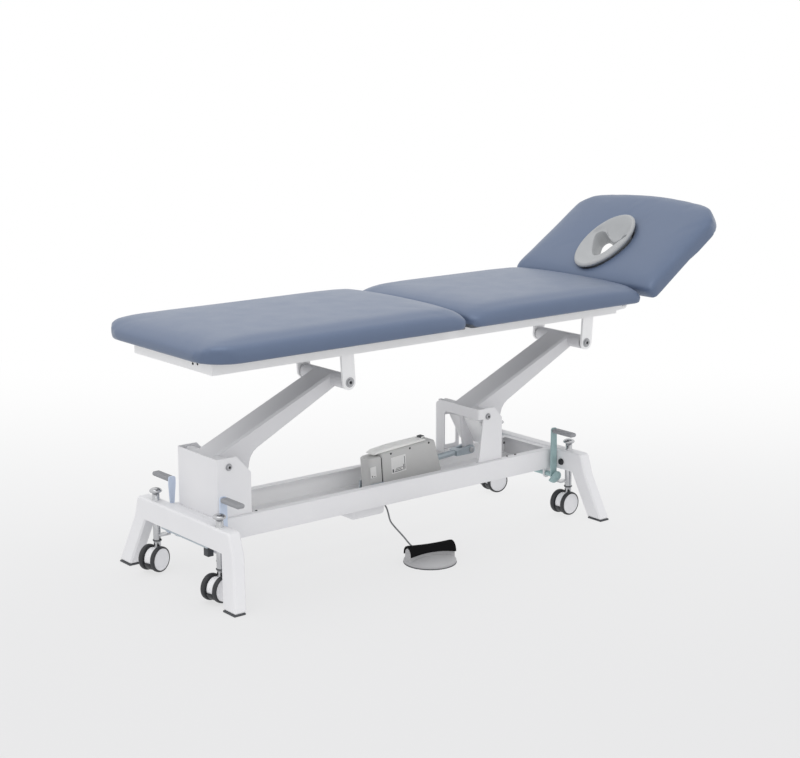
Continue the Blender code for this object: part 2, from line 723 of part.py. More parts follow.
def driven_arm():
    """The head end arm also has the lever that the actuator pushes."""
    solid = arm(HEAD_PIVOT_X)
    root = HUB_RADIUS
    lever = outline([(-root, HUB_RADIUS * 0.4, 0), (-LEVER_EYE, -LEVER_RADIUS - LEVER_EYE, LEVER_EYE * 0.95),
                     (LEVER_EYE, -LEVER_RADIUS - LEVER_EYE, LEVER_EYE * 0.95), (root, HUB_RADIUS * 0.4, 0)])
    hang = Matrix.Translation((HEAD_PIVOT_X, 0, PIVOT_Z)) @ Matrix.Rotation(-DRIVE_TILT, 4, "Y") @ side_view()
    weld(solid, prism(LEVER_THICKNESS, hang, lever))
    cut(solid, rod(ROD_PIN_RADIUS + RUNNING, (ROD_PIN_X, -ARM_WIDTH, ROD_PIN_Z),
                   (ROD_PIN_X, ARM_WIDTH, ROD_PIN_Z)))
    return bored(solid, HEAD_PIVOT_X)


# Actuator, drawn along its own axis from the rod pin: (along, up) in the side view
def drive_view(y=0.0):
    tilt = Matrix.Rotation(-DRIVE_TILT, 4, "Y")
    return Matrix.Translation((ROD_PIN_X, y, ROD_PIN_Z)) @ tilt @ side_view()


def drive_turned(profile, sides=16):
    """Lathe work about the rod's axis, heights along it."""
    place = (Matrix.Translation((ROD_PIN_X, 0, ROD_PIN_Z)) @ Matrix.Rotation(-DRIVE_TILT, 4, "Y")
             @ Matrix.Rotation(pi / 2, 4, "Y"))
    return turned(profile, sides, place)


def actuator_rod():
    """Push rod with a forked end either side of the lever."""
    cheek = LEVER_THICKNESS / 2 + SIDE_PLAY
    fork_back = -LEVER_EYE * 3.4
    mouth_back = -LEVER_EYE * 2.6
    profile = [(0, fork_back), (ROD_RADIUS, fork_back), (ROD_RADIUS, -ROD_LENGTH), (0, -ROD_LENGTH)]
    solid = drive_turned(profile)
    eye = LEVER_EYE * 0.9
    root = fork_back - LEVER_EYE * 0.4
    fork = outline([(root, -ROD_RADIUS * 0.9, 0), (eye, -eye, eye * 0.85), (eye, eye, eye * 0.85),
                    (root, ROD_RADIUS * 0.9, 0)])
    weld(solid, prism(2 * (cheek + CLEVIS_CHEEK), drive_view(), fork))
    mouth = [(mouth_back, -LEVER_EYE * 2), (LEVER_EYE * 2, -LEVER_EYE * 2),
             (LEVER_EYE * 2, LEVER_EYE * 2), (mouth_back, LEVER_EYE * 2)]
    cut(solid, prism(2 * cheek, drive_view(), mouth))
    reach = cheek + CLEVIS_CHEEK * 2
    return cut(solid, rod(ROD_PIN_RADIUS + RUNNING, (ROD_PIN_X, -reach, ROD_PIN_Z),
                          (ROD_PIN_X, reach, ROD_PIN_Z)))


def rod_pin():
    reach = LEVER_THICKNESS / 2 + SIDE_PLAY + CLEVIS_CHEEK + SEAT
    head = ROD_PIN_RADIUS * 1.6
    half = [(0, reach + PIN_HEAD * 0.7), (head, reach + PIN_HEAD * 0.7), (head, reach),
            (ROD_PIN_RADIUS, reach)]
    profile = half + [(radius, -height) for radius, height in reversed(half)]
    return turned(profile, 16, aimed((ROD_PIN_X, 0, ROD_PIN_Z), (0, 1, 0)))


def actuator_housing():
    front = -HOUSING_GAP
    back = front - HOUSING_LENGTH
    body = outline([(front, -HOUSING_DROP, 0.010), (front - HOUSING_LEAN, HOUSING_RISE, 0.016),
                    (back, HOUSING_RISE, 0.004), (back, -HOUSING_DROP, 0.006)])
    solid = rounded(prism(HOUSING_WIDTH, drive_view(), body), HOUSING_EDGE, segments=1, angle=60)
    play = ROD_RADIUS + ROD_SLOT_PLAY
    slot = outline([(front - ROD_SLOT_DEPTH, -play, 0), (front + 0.02, -play, 0),
                    (front + 0.02, ROD_SLOT_RISE + play, 0),
                    (front - ROD_SLOT_DEPTH, ROD_SLOT_RISE + play, 0)])
    return cut(solid, prism(2 * play, drive_view(), slot))


def actuator_cover():
    """Gearbox lid along the top of the housing, reaching over the motor."""
    front = -HOUSING_GAP - HOUSING_LEAN - COVER_OVERHANG
    back = -HOUSING_GAP - HOUSING_LENGTH - COVER_OVERHANG
    base = HOUSING_RISE + SEAT
    lid = outline([(front, base, 0), (front - 0.012, base + COVER_HEIGHT * 0.7, 0.010),
                   (front - HOUSING_LENGTH * 0.55, base + COVER_HEIGHT, 0.060),
                   (back + 0.020, base + COVER_HEIGHT * 0.75, 0.030), (back, base, 0)], steps=4)
    return rounded(prism(COVER_WIDTH, drive_view(), lid), COVER_HEIGHT * 0.3, segments=1, angle=60)


def motor_cover():
    """Round-cornered motor box behind the housing."""
    front = -HOUSING_GAP - HOUSING_LENGTH - SEAT
    half = HOUSING_WIDTH / 2
    plan = outline([(front, -half, 0.004), (front, half, 0.004), (front - MOTOR_LENGTH, half, MOTOR_CORNER),
                    (front - MOTOR_LENGTH, -half, MOTOR_CORNER)], steps=4)
    height = MOTOR_RISE + HOUSING_DROP
    stand = (Matrix.Translation((ROD_PIN_X, 0, ROD_PIN_Z)) @ Matrix.Rotation(-DRIVE_TILT, 4, "Y")
             @ Matrix.Translation((0, 0, (MOTOR_RISE - HOUSING_DROP) / 2)))
    return rounded(prism(height, stand, plan), HOUSING_EDGE, segments=1, angle=60)


def drive_point(along, up):
    return Vector((ROD_PIN_X + along * cos(DRIVE_TILT) - up * sin(DRIVE_TILT), 0,
                   ROD_PIN_Z + along * sin(DRIVE_TILT) + up * cos(DRIVE_TILT)))


def actuator_cradle():
    """Bent saddle that holds the motor down on the trough's floor."""
    rear = drive_point(-HOUSING_GAP - HOUSING_LENGTH - MOTOR_LENGTH, -HOUSING_DROP)
    front = drive_point(-HOUSING_GAP - HOUSING_LENGTH, -HOUSING_DROP)
    half = HOUSING_WIDTH / 2 + SEAT + CRADLE_SHEET
    base = TROUGH_FLOOR + SEAT
    section = [(rear.x, -half, base + CRADLE_HEIGHT), (rear.x, -half, base),
               (rear.x, half, base), (rear.x, half, base + CRADLE_HEIGHT)]
    solid = folded(section, CRADLE_SHEET, (front.x - rear.x, 0, 0))
    wedge = [(rear.x, base + CRADLE_SHEET / 2), (front.x, base + CRADLE_SHEET / 2),
             (front.x, front.z - SEAT), (rear.x, rear.z - SEAT)]
    return weld(solid, prism(HOUSING_WIDTH * 0.6, side_view(), wedge))


# Pan, cable and foot switch
def belly_pan():
    low = (PAN_X - PAN_LENGTH / 2, -PAN_WIDTH / 2, PAN_BOTTOM)
    high = (PAN_X + PAN_LENGTH / 2, PAN_WIDTH / 2, TROUGH_BOTTOM - SEAT)
    solid = block(low, high)
    shape = bmesh.new()
    shape.from_mesh(solid.data)
    lower = [edge for edge in shape.edges if min(v.co.z for v in edge.verts) < PAN_BOTTOM + SEAT]
    bmesh.ops.bevel(shape, geom=lower, affect="EDGES", offset=PAN_EDGE, segments=3, profile=0.5)
    shape.to_mesh(solid.data)
    shape.free()
    return tidy(solid)


def gland():
    length = GLAND_LENGTH
    profile = [(0, length), (GLAND_RADIUS * 0.6, length), (GLAND_RADIUS * 0.8, length * 0.45),
               (GLAND_RADIUS, length * 0.4), (GLAND_RADIUS, 0), (0, 0)]
    return turned(profile, 16, aimed((GLAND_X, GLAND_Y, GLAND_Z), (1, 0, 0)))


def smooth_route(stops, spacing):
    """Points along a smooth curve through the stops."""
    stops = [Vector(stop) for stop in stops]
    padded = [2 * stops[0] - stops[1]] + stops + [2 * stops[-1] - stops[-2]]
    points = [stops[0]]
    for before, start, end, after in zip(padded, padded[1:], padded[2:], padded[3:]):
        steps = max(1, round((end - start).length / spacing))
        for step in range(1, steps + 1):
            t = step / steps
            points.append(0.5 * (2 * start + (end - before) * t
                                 + (2 * before - 5 * start + 4 * end - after) * t ** 2
                                 + (3 * start - before - 3 * end + after) * t ** 3))
    return points


def cable():
    points = smooth_route(CABLE_ROUTE, CABLE_DIAMETER * 2.2)
    curve = bpy.data.curves.new("cable", "CURVE")
    curve.dimensions = "3D"
    curve.bevel_depth = CABLE_DIAMETER / 2
    curve.bevel_resolution = 2
    curve.use_fill_caps = True
    spline = curve.splines.new("POLY")
    spline.points.add(len(points) - 1)
    for point, place in zip(spline.points, points):
        point.co = (*place, 1)
    return tidy(bake(rough(curve)))


def switch_place():
    return Matrix.Translation((SWITCH_X, SWITCH_Y, 0)) @ Matrix.Rotation(SWITCH_TURN, 4, "Z")


def switch_base():
    """Domed floor disc with a round ridge that the saddle pedal rocks on."""
    profile = [(0, SWITCH_DOME), (SWITCH_RADIUS * 0.45, SWITCH_DOME * 0.97),
               (SWITCH_RADIUS * 0.72, SWITCH_DOME * 0.82), (SWITCH_RADIUS * 0.92, SWITCH_RIM * 1.35),
               (SWITCH_RADIUS, SWITCH_RIM * 0.8), (SWITCH_RADIUS, 0.002), (SWITCH_RADIUS - 0.002, 0), (0, 0)]
    solid = turned(profile, 28)
    arch = [(RIDGE_RADIUS * cos(pi * step / 12), RIDGE_Z + RIDGE_RADIUS * sin(pi * step / 12))
            for step in range(13)]
    foot = SWITCH_RIM * 0.5
    weld(solid, prism(RIDGE_LENGTH, end_view(), arch + [(-RIDGE_RADIUS, foot), (RIDGE_RADIUS, foot)]))
    heading = INLET_HEADING - SWITCH_TURN
    tip = Vector((INLET_REACH * cos(heading), INLET_REACH * sin(heading), INLET_Z))
    root = Vector((tip.x * 0.7, tip.y * 0.7, INLET_Z))
    weld(solid, rod(INLET_RADIUS, root, tip, 12))
    return moved(solid, switch_place())


def saddle():
    """Bow-tie tread: a shell over the ridge, waisted in the middle and flared at its ends."""
    shape = bmesh.new()
    grid = bmesh.ops.create_grid(shape, x_segments=8, y_segments=8, size=1)
    for vert in grid["verts"]:
        along, across = vert.co.x, vert.co.y
        spread = SADDLE_WAIST + (SADDLE_SPREAD - SADDLE_WAIST) * along ** 2
        radius = RIDGE_RADIUS + SIDE_PLAY + SADDLE_FLARE * along ** 2
        turn = across * spread
        vert.co = (along * SADDLE_LENGTH / 2, -radius * sin(turn), RIDGE_Z + radius * cos(turn))
    bmesh.ops.recalc_face_normals(shape, faces=shape.faces)
    solid = from_bmesh(shape)
    first = solid.data.polygons[0]
    outward = first.normal.dot(first.center - Vector((first.center.x, 0, RIDGE_Z))) > 0
    step = solid.modifiers.new("wall", "SOLIDIFY")
    step.thickness = SADDLE_WALL
    step.offset = 1 if outward else -1
    step.use_even_offset = True
    return moved(tidy(bake(solid)), switch_place())


# Retractable castors and their pedals
def castor_stem(end, side):
    """Sliding stem: domed cap, swivel spigot, and a tab whose tip the cam pushes."""
    x = end * BAR_X
    y = side * STEM_Y
    profile = [(0, STEM_TOP + CAP_HEIGHT), (CAP_RADIUS * 0.55, STEM_TOP + CAP_HEIGHT * 0.85),
               (CAP_RADIUS, STEM_TOP + CAP_HEIGHT * 0.3), (CAP_RADIUS, STEM_TOP + CAP_HEIGHT * 0.1),
               (STEM_RADIUS * 1.1, STEM_TOP), (STEM_RADIUS, STEM_TOP - CAP_HEIGHT * 0.1),
               (STEM_RADIUS, STEM_BOTTOM), (SPIGOT_RADIUS, STEM_BOTTOM),
               (SPIGOT_RADIUS, STEM_BOTTOM - SPIGOT_LENGTH), (0, STEM_BOTTOM - SPIGOT_LENGTH)]
    solid = turned(profile, 16, Matrix.Translation((x, y, 0)))
    tab_top = SHAFT_Z - CAM_BASE - SEAT
    inner_y = CAM_Y - CAM_WIDTH / 2 - SIDE_PLAY
    xs = sorted((x, end * SHAFT_X))
    ys = sorted((y, side * inner_y))
    return weld(solid, block((xs[0], ys[0], tab_top - TAB_HEIGHT), (xs[1], ys[1], tab_top)))


def castor_place(end, side, heading):
    """Frame of a castor: local X is the way it trails, local Y its axle."""
    return Matrix.Translation((end * BAR_X, side * STEM_Y, 0)) @ Matrix.Rotation(radians(heading), 4, "Z")


def castor_fork(end, side, heading):
    """Centre body between the twin wheels, with its crown on the stem and its axle."""
    top = STEM_BOTTOM - SEAT
    shoulder = top - FORK_CROWN * 0.35
    body = outline([(-TRAIL + FORK_RADIUS * 0.2, shoulder, 0), (FORK_CROWN, shoulder, 0),
                    (FORK_CROWN, WHEEL_Z + FORK_RADIUS * 0.5, 0.006),
                    (FORK_CROWN - 0.004, WHEEL_Z - FORK_RADIUS * 0.35, 0.006),
                    (-TRAIL + FORK_RADIUS * 0.3, WHEEL_Z - FORK_RADIUS * 0.85, 0.006),
                    (-TRAIL - FORK_RADIUS * 0.75, WHEEL_Z - FORK_RADIUS * 0.6, 0.012),
                    (-TRAIL - FORK_RADIUS, WHEEL_Z + FORK_RADIUS * 0.3, 0.012),
                    (-TRAIL - FORK_RADIUS * 0.6, WHEEL_Z + FORK_RADIUS * 0.95, 0.014)], steps=2)
    solid = prism(FORK_WIDTH, side_view(), body)
    weld(solid, rod(FORK_CROWN, (0, 0, WHEEL_Z), (0, 0, top), 12))
    cut(solid, rod(SPIGOT_RADIUS + RUNNING, (0, 0, STEM_BOTTOM - SPIGOT_LENGTH - SEAT),
                   (0, 0, top + 0.01), 12))
    half_axle = WHEEL_TRACK / 2 + WHEEL_WIDTH * 0.3
    weld(solid, rod(AXLE_RADIUS, (-TRAIL, -half_axle, WHEEL_Z), (-TRAIL, half_axle, WHEEL_Z), 12))
    return moved(solid, castor_place(end, side, heading))


def castor_wheel(end, side, heading, twin):
    """Hub with a moulded tread: a dished outer face and a blind bore for the axle."""
    half = WHEEL_WIDTH / 2
    bore = AXLE_RADIUS + RUNNING
    blind = WHEEL_WIDTH * 0.3 + SIDE_PLAY
    profile = [(0, half * 0.8), (WHEEL_RADIUS - TYRE, half * 0.8), (WHEEL_RADIUS - TYRE * 0.7, half),
               (WHEEL_RADIUS, half * 0.45), (WHEEL_RADIUS, -half * 0.5), (WHEEL_RADIUS - TYRE * 0.5, -half),
               (bore, -half), (bore, blind), (0, blind)]
    place = Matrix.Translation((-TRAIL, twin * WHEEL_TRACK / 2, WHEEL_Z))
    facing = aimed((0, 0, 0), (0, twin, 0))
    return turned(profile, 20, castor_place(end, side, heading) @ place @ facing)


def spiral_cam():
    """Cam whose radius grows evenly with its turn, so each degree pushes the stem alike."""
    steps = 7
    lobe = []
    for step in range(steps + 1):
        turn = CAM_SWEEP * step / steps
        radius = CAM_BASE + CAM_LIFT * step / steps
        lobe.append((radius * sin(turn), -radius * cos(turn)))
    back = [(CAM_BASE * sin(turn), -CAM_BASE * cos(turn))
            for turn in (radians(angle) for angle in range(150, 360, 30))]
    return lobe + back


def pedal_shaft(end):
    """Shaft with two upright levers, their pedal rods and the spiral cams."""
    x = end * SHAFT_X
    solid = rod(SHAFT_RADIUS, (x, -SHAFT_LENGTH / 2, SHAFT_Z), (x, SHAFT_LENGTH / 2, SHAFT_Z), 16)
    cam = [(-end * u, v) for u, v in spiral_cam()]
    foot = LEVER_BAR_WIDTH * 0.62
    head = LEVER_BAR_WIDTH / 2
    rise = PEDAL_Z - SHAFT_Z
    bar = outline([(-foot, 0, 0), (-foot, -foot, foot * 0.95), (foot * 0.8, -foot, foot * 0.78),
                   (foot * 0.8, 0, 0),
                   (-LEVER_LEAN + head, rise + head * 0.8, head * 0.6),
                   (-LEVER_LEAN - head, rise + head * 0.8, head * 0.6)], steps=3)
    for side in LEG_SIDES.values():
        lever = [(end * u, v) for u, v in bar]
        weld(solid, prism(LEVER_PLATE, side_view(x, side * LEVER_Y, SHAFT_Z), lever),
             prism(CAM_WIDTH, side_view(x, side * CAM_Y, SHAFT_Z), cam))
        rod_x = x - end * LEVER_LEAN
        weld(solid, rod(PEDAL_ROD_RADIUS, (rod_x, side * LEVER_Y, PEDAL_Z),
                        (rod_x, side * (LEVER_Y + PEDAL_LENGTH * 0.9), PEDAL_Z), 10))
    return solid


def pedal_pad(end, side):
    """Ribbed rubber sleeve on a pedal rod."""
    x = end * (SHAFT_X - LEVER_LEAN)
    start = side * (LEVER_Y + LEVER_PLATE / 2 + SEAT)
    finish = start + side * PEDAL_LENGTH
    ys = sorted((start, finish))
    solid = block((x - PEDAL_DEPTH / 2, ys[0], PEDAL_Z - PEDAL_HEIGHT / 2),
                  (x + PEDAL_DEPTH / 2, ys[1], PEDAL_Z + PEDAL_HEIGHT / 2))
    rounded(solid, PEDAL_HEIGHT * 0.3, segments=1)
    tip = side * (LEVER_Y + PEDAL_LENGTH * 0.9 + SIDE_PLAY)
    return cut(solid, rod(PEDAL_ROD_RADIUS + SEAT, (x, side * LEVER_Y, PEDAL_Z), (x, tip, PEDAL_Z), 10))


# Table top
def top_frame():
    """Welded rails and cross tubes, hanger lugs for the arms and ears for the head hinge."""
    half = FRAME_WIDTH / 2
    inner = half - RAIL_WIDTH
    solid = block((FRAME_FOOT, -half, FRAME_BOTTOM), (FRAME_HEAD, -inner, FRAME_TOP))
    weld(solid, block((FRAME_FOOT, inner, FRAME_BOTTOM), (FRAME_HEAD, half, FRAME_TOP)))
    overlap = RAIL_WIDTH / 2
    hangers = [FOOT_PIVOT_X + ARM_RUN, HEAD_PIVOT_X + ARM_RUN]
    crossings = [FRAME_FOOT + CROSS_WIDTH / 2, LEG_HINGE_X] + hangers
    for x in crossings:
        weld(solid, block((x - CROSS_WIDTH / 2, -inner - overlap, FRAME_BOTTOM + SEAT),
                          (x + CROSS_WIDTH / 2, inner + overlap, FRAME_TOP - SEAT)))
    root = FRAME_BOTTOM + RAIL_HEIGHT / 2 - HANGER_Z
    for x, lean in zip(hangers, (-LUG_LEAN, LUG_LEAN)):
        lug = outline([(lean - LUG_WIDTH / 2, root, 0), (-LUG_WIDTH / 2, -LUG_WIDTH / 2, LUG_WIDTH * 0.48),
                       (LUG_WIDTH / 2, -LUG_WIDTH / 2, LUG_WIDTH * 0.48),
                       (lean + LUG_WIDTH / 2, root, 0)], steps=6)
        for side in LEG_SIDES.values():
            y = side * (LUG_SPREAD - LUG_THICKNESS) / 2
            weld(solid, prism(LUG_THICKNESS, side_view(x, y, HANGER_Z), lug))
        cut(solid, rod(PIN_RADIUS + RUNNING, (x, -LUG_SPREAD, HANGER_Z), (x, LUG_SPREAD, HANGER_Z)))
    reach = HEAD_HINGE_X + EAR_REACH
    ear = outline([(FRAME_HEAD - RAIL_WIDTH, FRAME_BOTTOM + RAIL_HEIGHT * 0.15, 0),
                   (reach, FRAME_BOTTOM + RAIL_HEIGHT * 0.3, EAR_REACH * 0.7),
                   (reach, HEAD_HINGE_Z + EAR_REACH * 0.65, EAR_REACH * 0.7),
                   (FRAME_HEAD - RAIL_WIDTH, FRAME_TOP - RAIL_HEIGHT * 0.05, 0)])
    for side in LEG_SIDES.values():
        y = side * (half - LUG_THICKNESS / 2 - SIDE_PLAY)
        weld(solid, prism(LUG_THICKNESS, side_view(0, y), ear))
    cut(solid, rod(HEAD_PIN_RADIUS + RUNNING, (HEAD_HINGE_X, -FRAME_WIDTH, HEAD_HINGE_Z),
                   (HEAD_HINGE_X, FRAME_WIDTH, HEAD_HINGE_Z)))
    return solid


def section_board(start, end, corner=0.0):
    half = CUSHION_WIDTH / 2 - BOARD_INSET
    plan = outline([(start, -half, corner), (end, -half, 0), (end, half, 0), (start, half, corner)], steps=6)
    return plate(BOARD, Matrix.Translation((0, 0, BOARD_BOTTOM + BOARD / 2)), plan)


def section_cushion(start, end, corner_start, corner_end):
    half = CUSHION_WIDTH / 2
    return soft_pad((start, -half, CUSHION_BOTTOM), (end, half, CUSHION_TOP),
                    corner_start, corner_end, CUSHION_ROLL, CUSHION_CROWN, CUSHION_DRAW)


def fixed_leaf():
    """Hinge strip between leg and middle sections, with the barrel along its top edge."""
    half = LEAF_LENGTH / 2
    edge = LEG_HINGE_X + SEAT
    strip = block((edge, -half, BOARD_BOTTOM), (edge + LEAF, half, LEG_HINGE_Z))
    return weld(strip, rod(BARREL_RADIUS, (LEG_HINGE_X, -half, LEG_HINGE_Z),
                           (LEG_HINGE_X, half, LEG_HINGE_Z), 16))


def swinging_leaf():
    half = LEAF_LENGTH / 2
    edge = LEG_HINGE_X - BARREL_RADIUS - SEAT
    return block((LEG_STOP + SEAT, -half, BOARD_BOTTOM), (edge, half, LEG_HINGE_Z))


# Head section, drawn flat from its hinge axis and then tilted
def head_place():
    return Matrix.Translation((HEAD_HINGE_X, 0, HEAD_HINGE_Z)) @ Matrix.Rotation(-HEAD_TILT, 4, "Y")


HEAD_BOARD_BOTTOM = BOARD_BOTTOM - HEAD_HINGE_Z
HEAD_CUSHION_BOTTOM = CUSHION_BOTTOM - HEAD_HINGE_Z
HEAD_CUSHION_TOP = CUSHION_TOP - HEAD_HINGE_Z
HEAD_END = HEAD_START + HEAD_LENGTH
RING_HALF_X = RING_LENGTH / 2
RING_HALF_Y = RING_WIDTH / 2
THROAT_OUTER = RING_THROAT + THROAT_WALL
HOLE_PLAY = 1.0 + SIDE_PLAY / RING_HALF_X


def oval_rod(share, low, high, sides=32):
    """Oval plug through the head section, as a share of the face ring."""
    place = Matrix.Translation((0, 0, (low + high) / 2))
    loop = ellipse(RING_HALF_X * share, RING_HALF_Y * share, sides, (RING_X, 0))
    return prism(high - low, place, loop)


def head_board():
    half = CUSHION_WIDTH / 2 - BOARD_INSET
    top = HEAD_BOARD_BOTTOM + BOARD
    corner = HEAD_CORNER - BOARD_INSET
    plan = outline([(HEAD_START + BOARD_INSET, -half, 0), (HEAD_END - BOARD_INSET, -half, corner),
                    (HEAD_END - BOARD_INSET, half, corner), (HEAD_START + BOARD_INSET, half, 0)], steps=6)
    place = head_place() @ Matrix.Translation((0, 0, (HEAD_BOARD_BOTTOM + top) / 2))
    solid = plate(BOARD, place, plan)
    throat = oval_rod(THROAT_OUTER * HOLE_PLAY, HEAD_BOARD_BOTTOM - BOARD, top + BOARD)
    return cut(solid, moved(throat, head_place()))


def head_cushion():
    half = CUSHION_WIDTH / 2
    solid = soft_pad((HEAD_START, -half, HEAD_CUSHION_BOTTOM), (HEAD_END, half, HEAD_CUSHION_TOP),
                     0.034, HEAD_CORNER, 0.085, CUSHION_CROWN, CUSHION_DRAW)
    hole = oval_rod(RING_SEATING * HOLE_PLAY, HEAD_CUSHION_BOTTOM - BOARD, HEAD_CUSHION_TOP + BOARD * 2)
    cut(solid, hole)
    return moved(solid, head_place())


def face_ring():
    """Dished face piece: a rolled rim on the cushion, sloping to an oval throat."""
    under = HEAD_CUSHION_TOP + CUSHION_CROWN + SEAT
    rim = HEAD_CUSHION_TOP + RING_RIM
    low = HEAD_BOARD_BOTTOM + SEAT
    seat = RING_SEATING
    profile = [(0.93, rim), (0.975, rim - 0.003), (1.0, rim - 0.008), (0.98, under), (seat, under),
               (seat, HEAD_CUSHION_BOTTOM + 0.004), (THROAT_OUTER, HEAD_CUSHION_BOTTOM + 0.001),
               (THROAT_OUTER, low), (RING_THROAT, low), (RING_THROAT, low + 0.022),
               (RING_THROAT + 0.05, low + 0.034), (0.76, rim - 0.014), (0.86, rim - 0.003)]
    solid = turned(profile, 32, closed=True)
    stretch = Matrix.Diagonal((RING_HALF_X, RING_HALF_Y, 1, 1))
    return moved(solid, head_place() @ Matrix.Translation((RING_X, 0, 0)) @ stretch)


def head_frame():
    """Two bars and a cross tie under the head board, bored for the hinge pin."""
    top = HEAD_BOARD_BOTTOM - SEAT
    low = top - HEAD_BAR_HEIGHT
    outer = HEAD_BAR_SPREAD / 2
    inner = outer - HEAD_BAR_WIDTH
    bar = outline([(-EAR_REACH * 0.8, -EAR_REACH * 0.75, EAR_REACH * 0.6), (HEAD_BAR_LENGTH, low, 0),
                   (HEAD_BAR_LENGTH, top, 0), (HEAD_START, top, 0),
                   (-EAR_REACH * 0.8, EAR_REACH * 0.75, EAR_REACH * 0.6)])
    solid = None
    for side in LEG_SIDES.values():
        arm_bar = prism(HEAD_BAR_WIDTH, side_view(0, side * (outer + inner) / 2), bar)
        solid = weld(solid, arm_bar) if solid else arm_bar
    tie_end = HEAD_BAR_LENGTH - HEAD_BAR_WIDTH / 2
    tie = block((tie_end - HEAD_BAR_WIDTH, -inner - SIDE_PLAY, low + SEAT),
                (tie_end, inner + SIDE_PLAY, top - SEAT))
    weld(solid, tie)
    cut(solid, rod(HEAD_PIN_RADIUS + RUNNING, (0, -FRAME_WIDTH, 0), (0, FRAME_WIDTH, 0)))
    return moved(solid, head_place())


def head_hinge_pin():
    reach = FRAME_WIDTH / 2
    head = HEAD_PIN_RADIUS * 1.5
    half = [(0, reach + PIN_HEAD), (head, reach + PIN_HEAD), (head, reach + SEAT - SIDE_PLAY),
            (HEAD_PIN_RADIUS, reach + SEAT - SIDE_PLAY)]
    profile = half + [(radius, -height) for radius, height in reversed(half)]
    return turned(profile, 16, aimed((HEAD_HINGE_X, 0, HEAD_HINGE_Z), (0, 1, 0)))


def stand_on_floor(root):
    """Move the root so that the middle of the table's box stands on the origin."""
    bpy.context.view_layer.update()
    solids = [solid for solid in parts.objects if solid.type == "MESH"]
    corners = [solid.matrix_world @ Vector(corner) for solid in solids for corner in solid.bound_box]
    low = [min(corner[axis] for corner in corners) for axis in range(3)]
    high = [max(corner[axis] for corner in corners) for axis in range(3)]
    root.location = (-(low[0] + high[0]) / 2, -(low[1] + high[1]) / 2, -low[2])


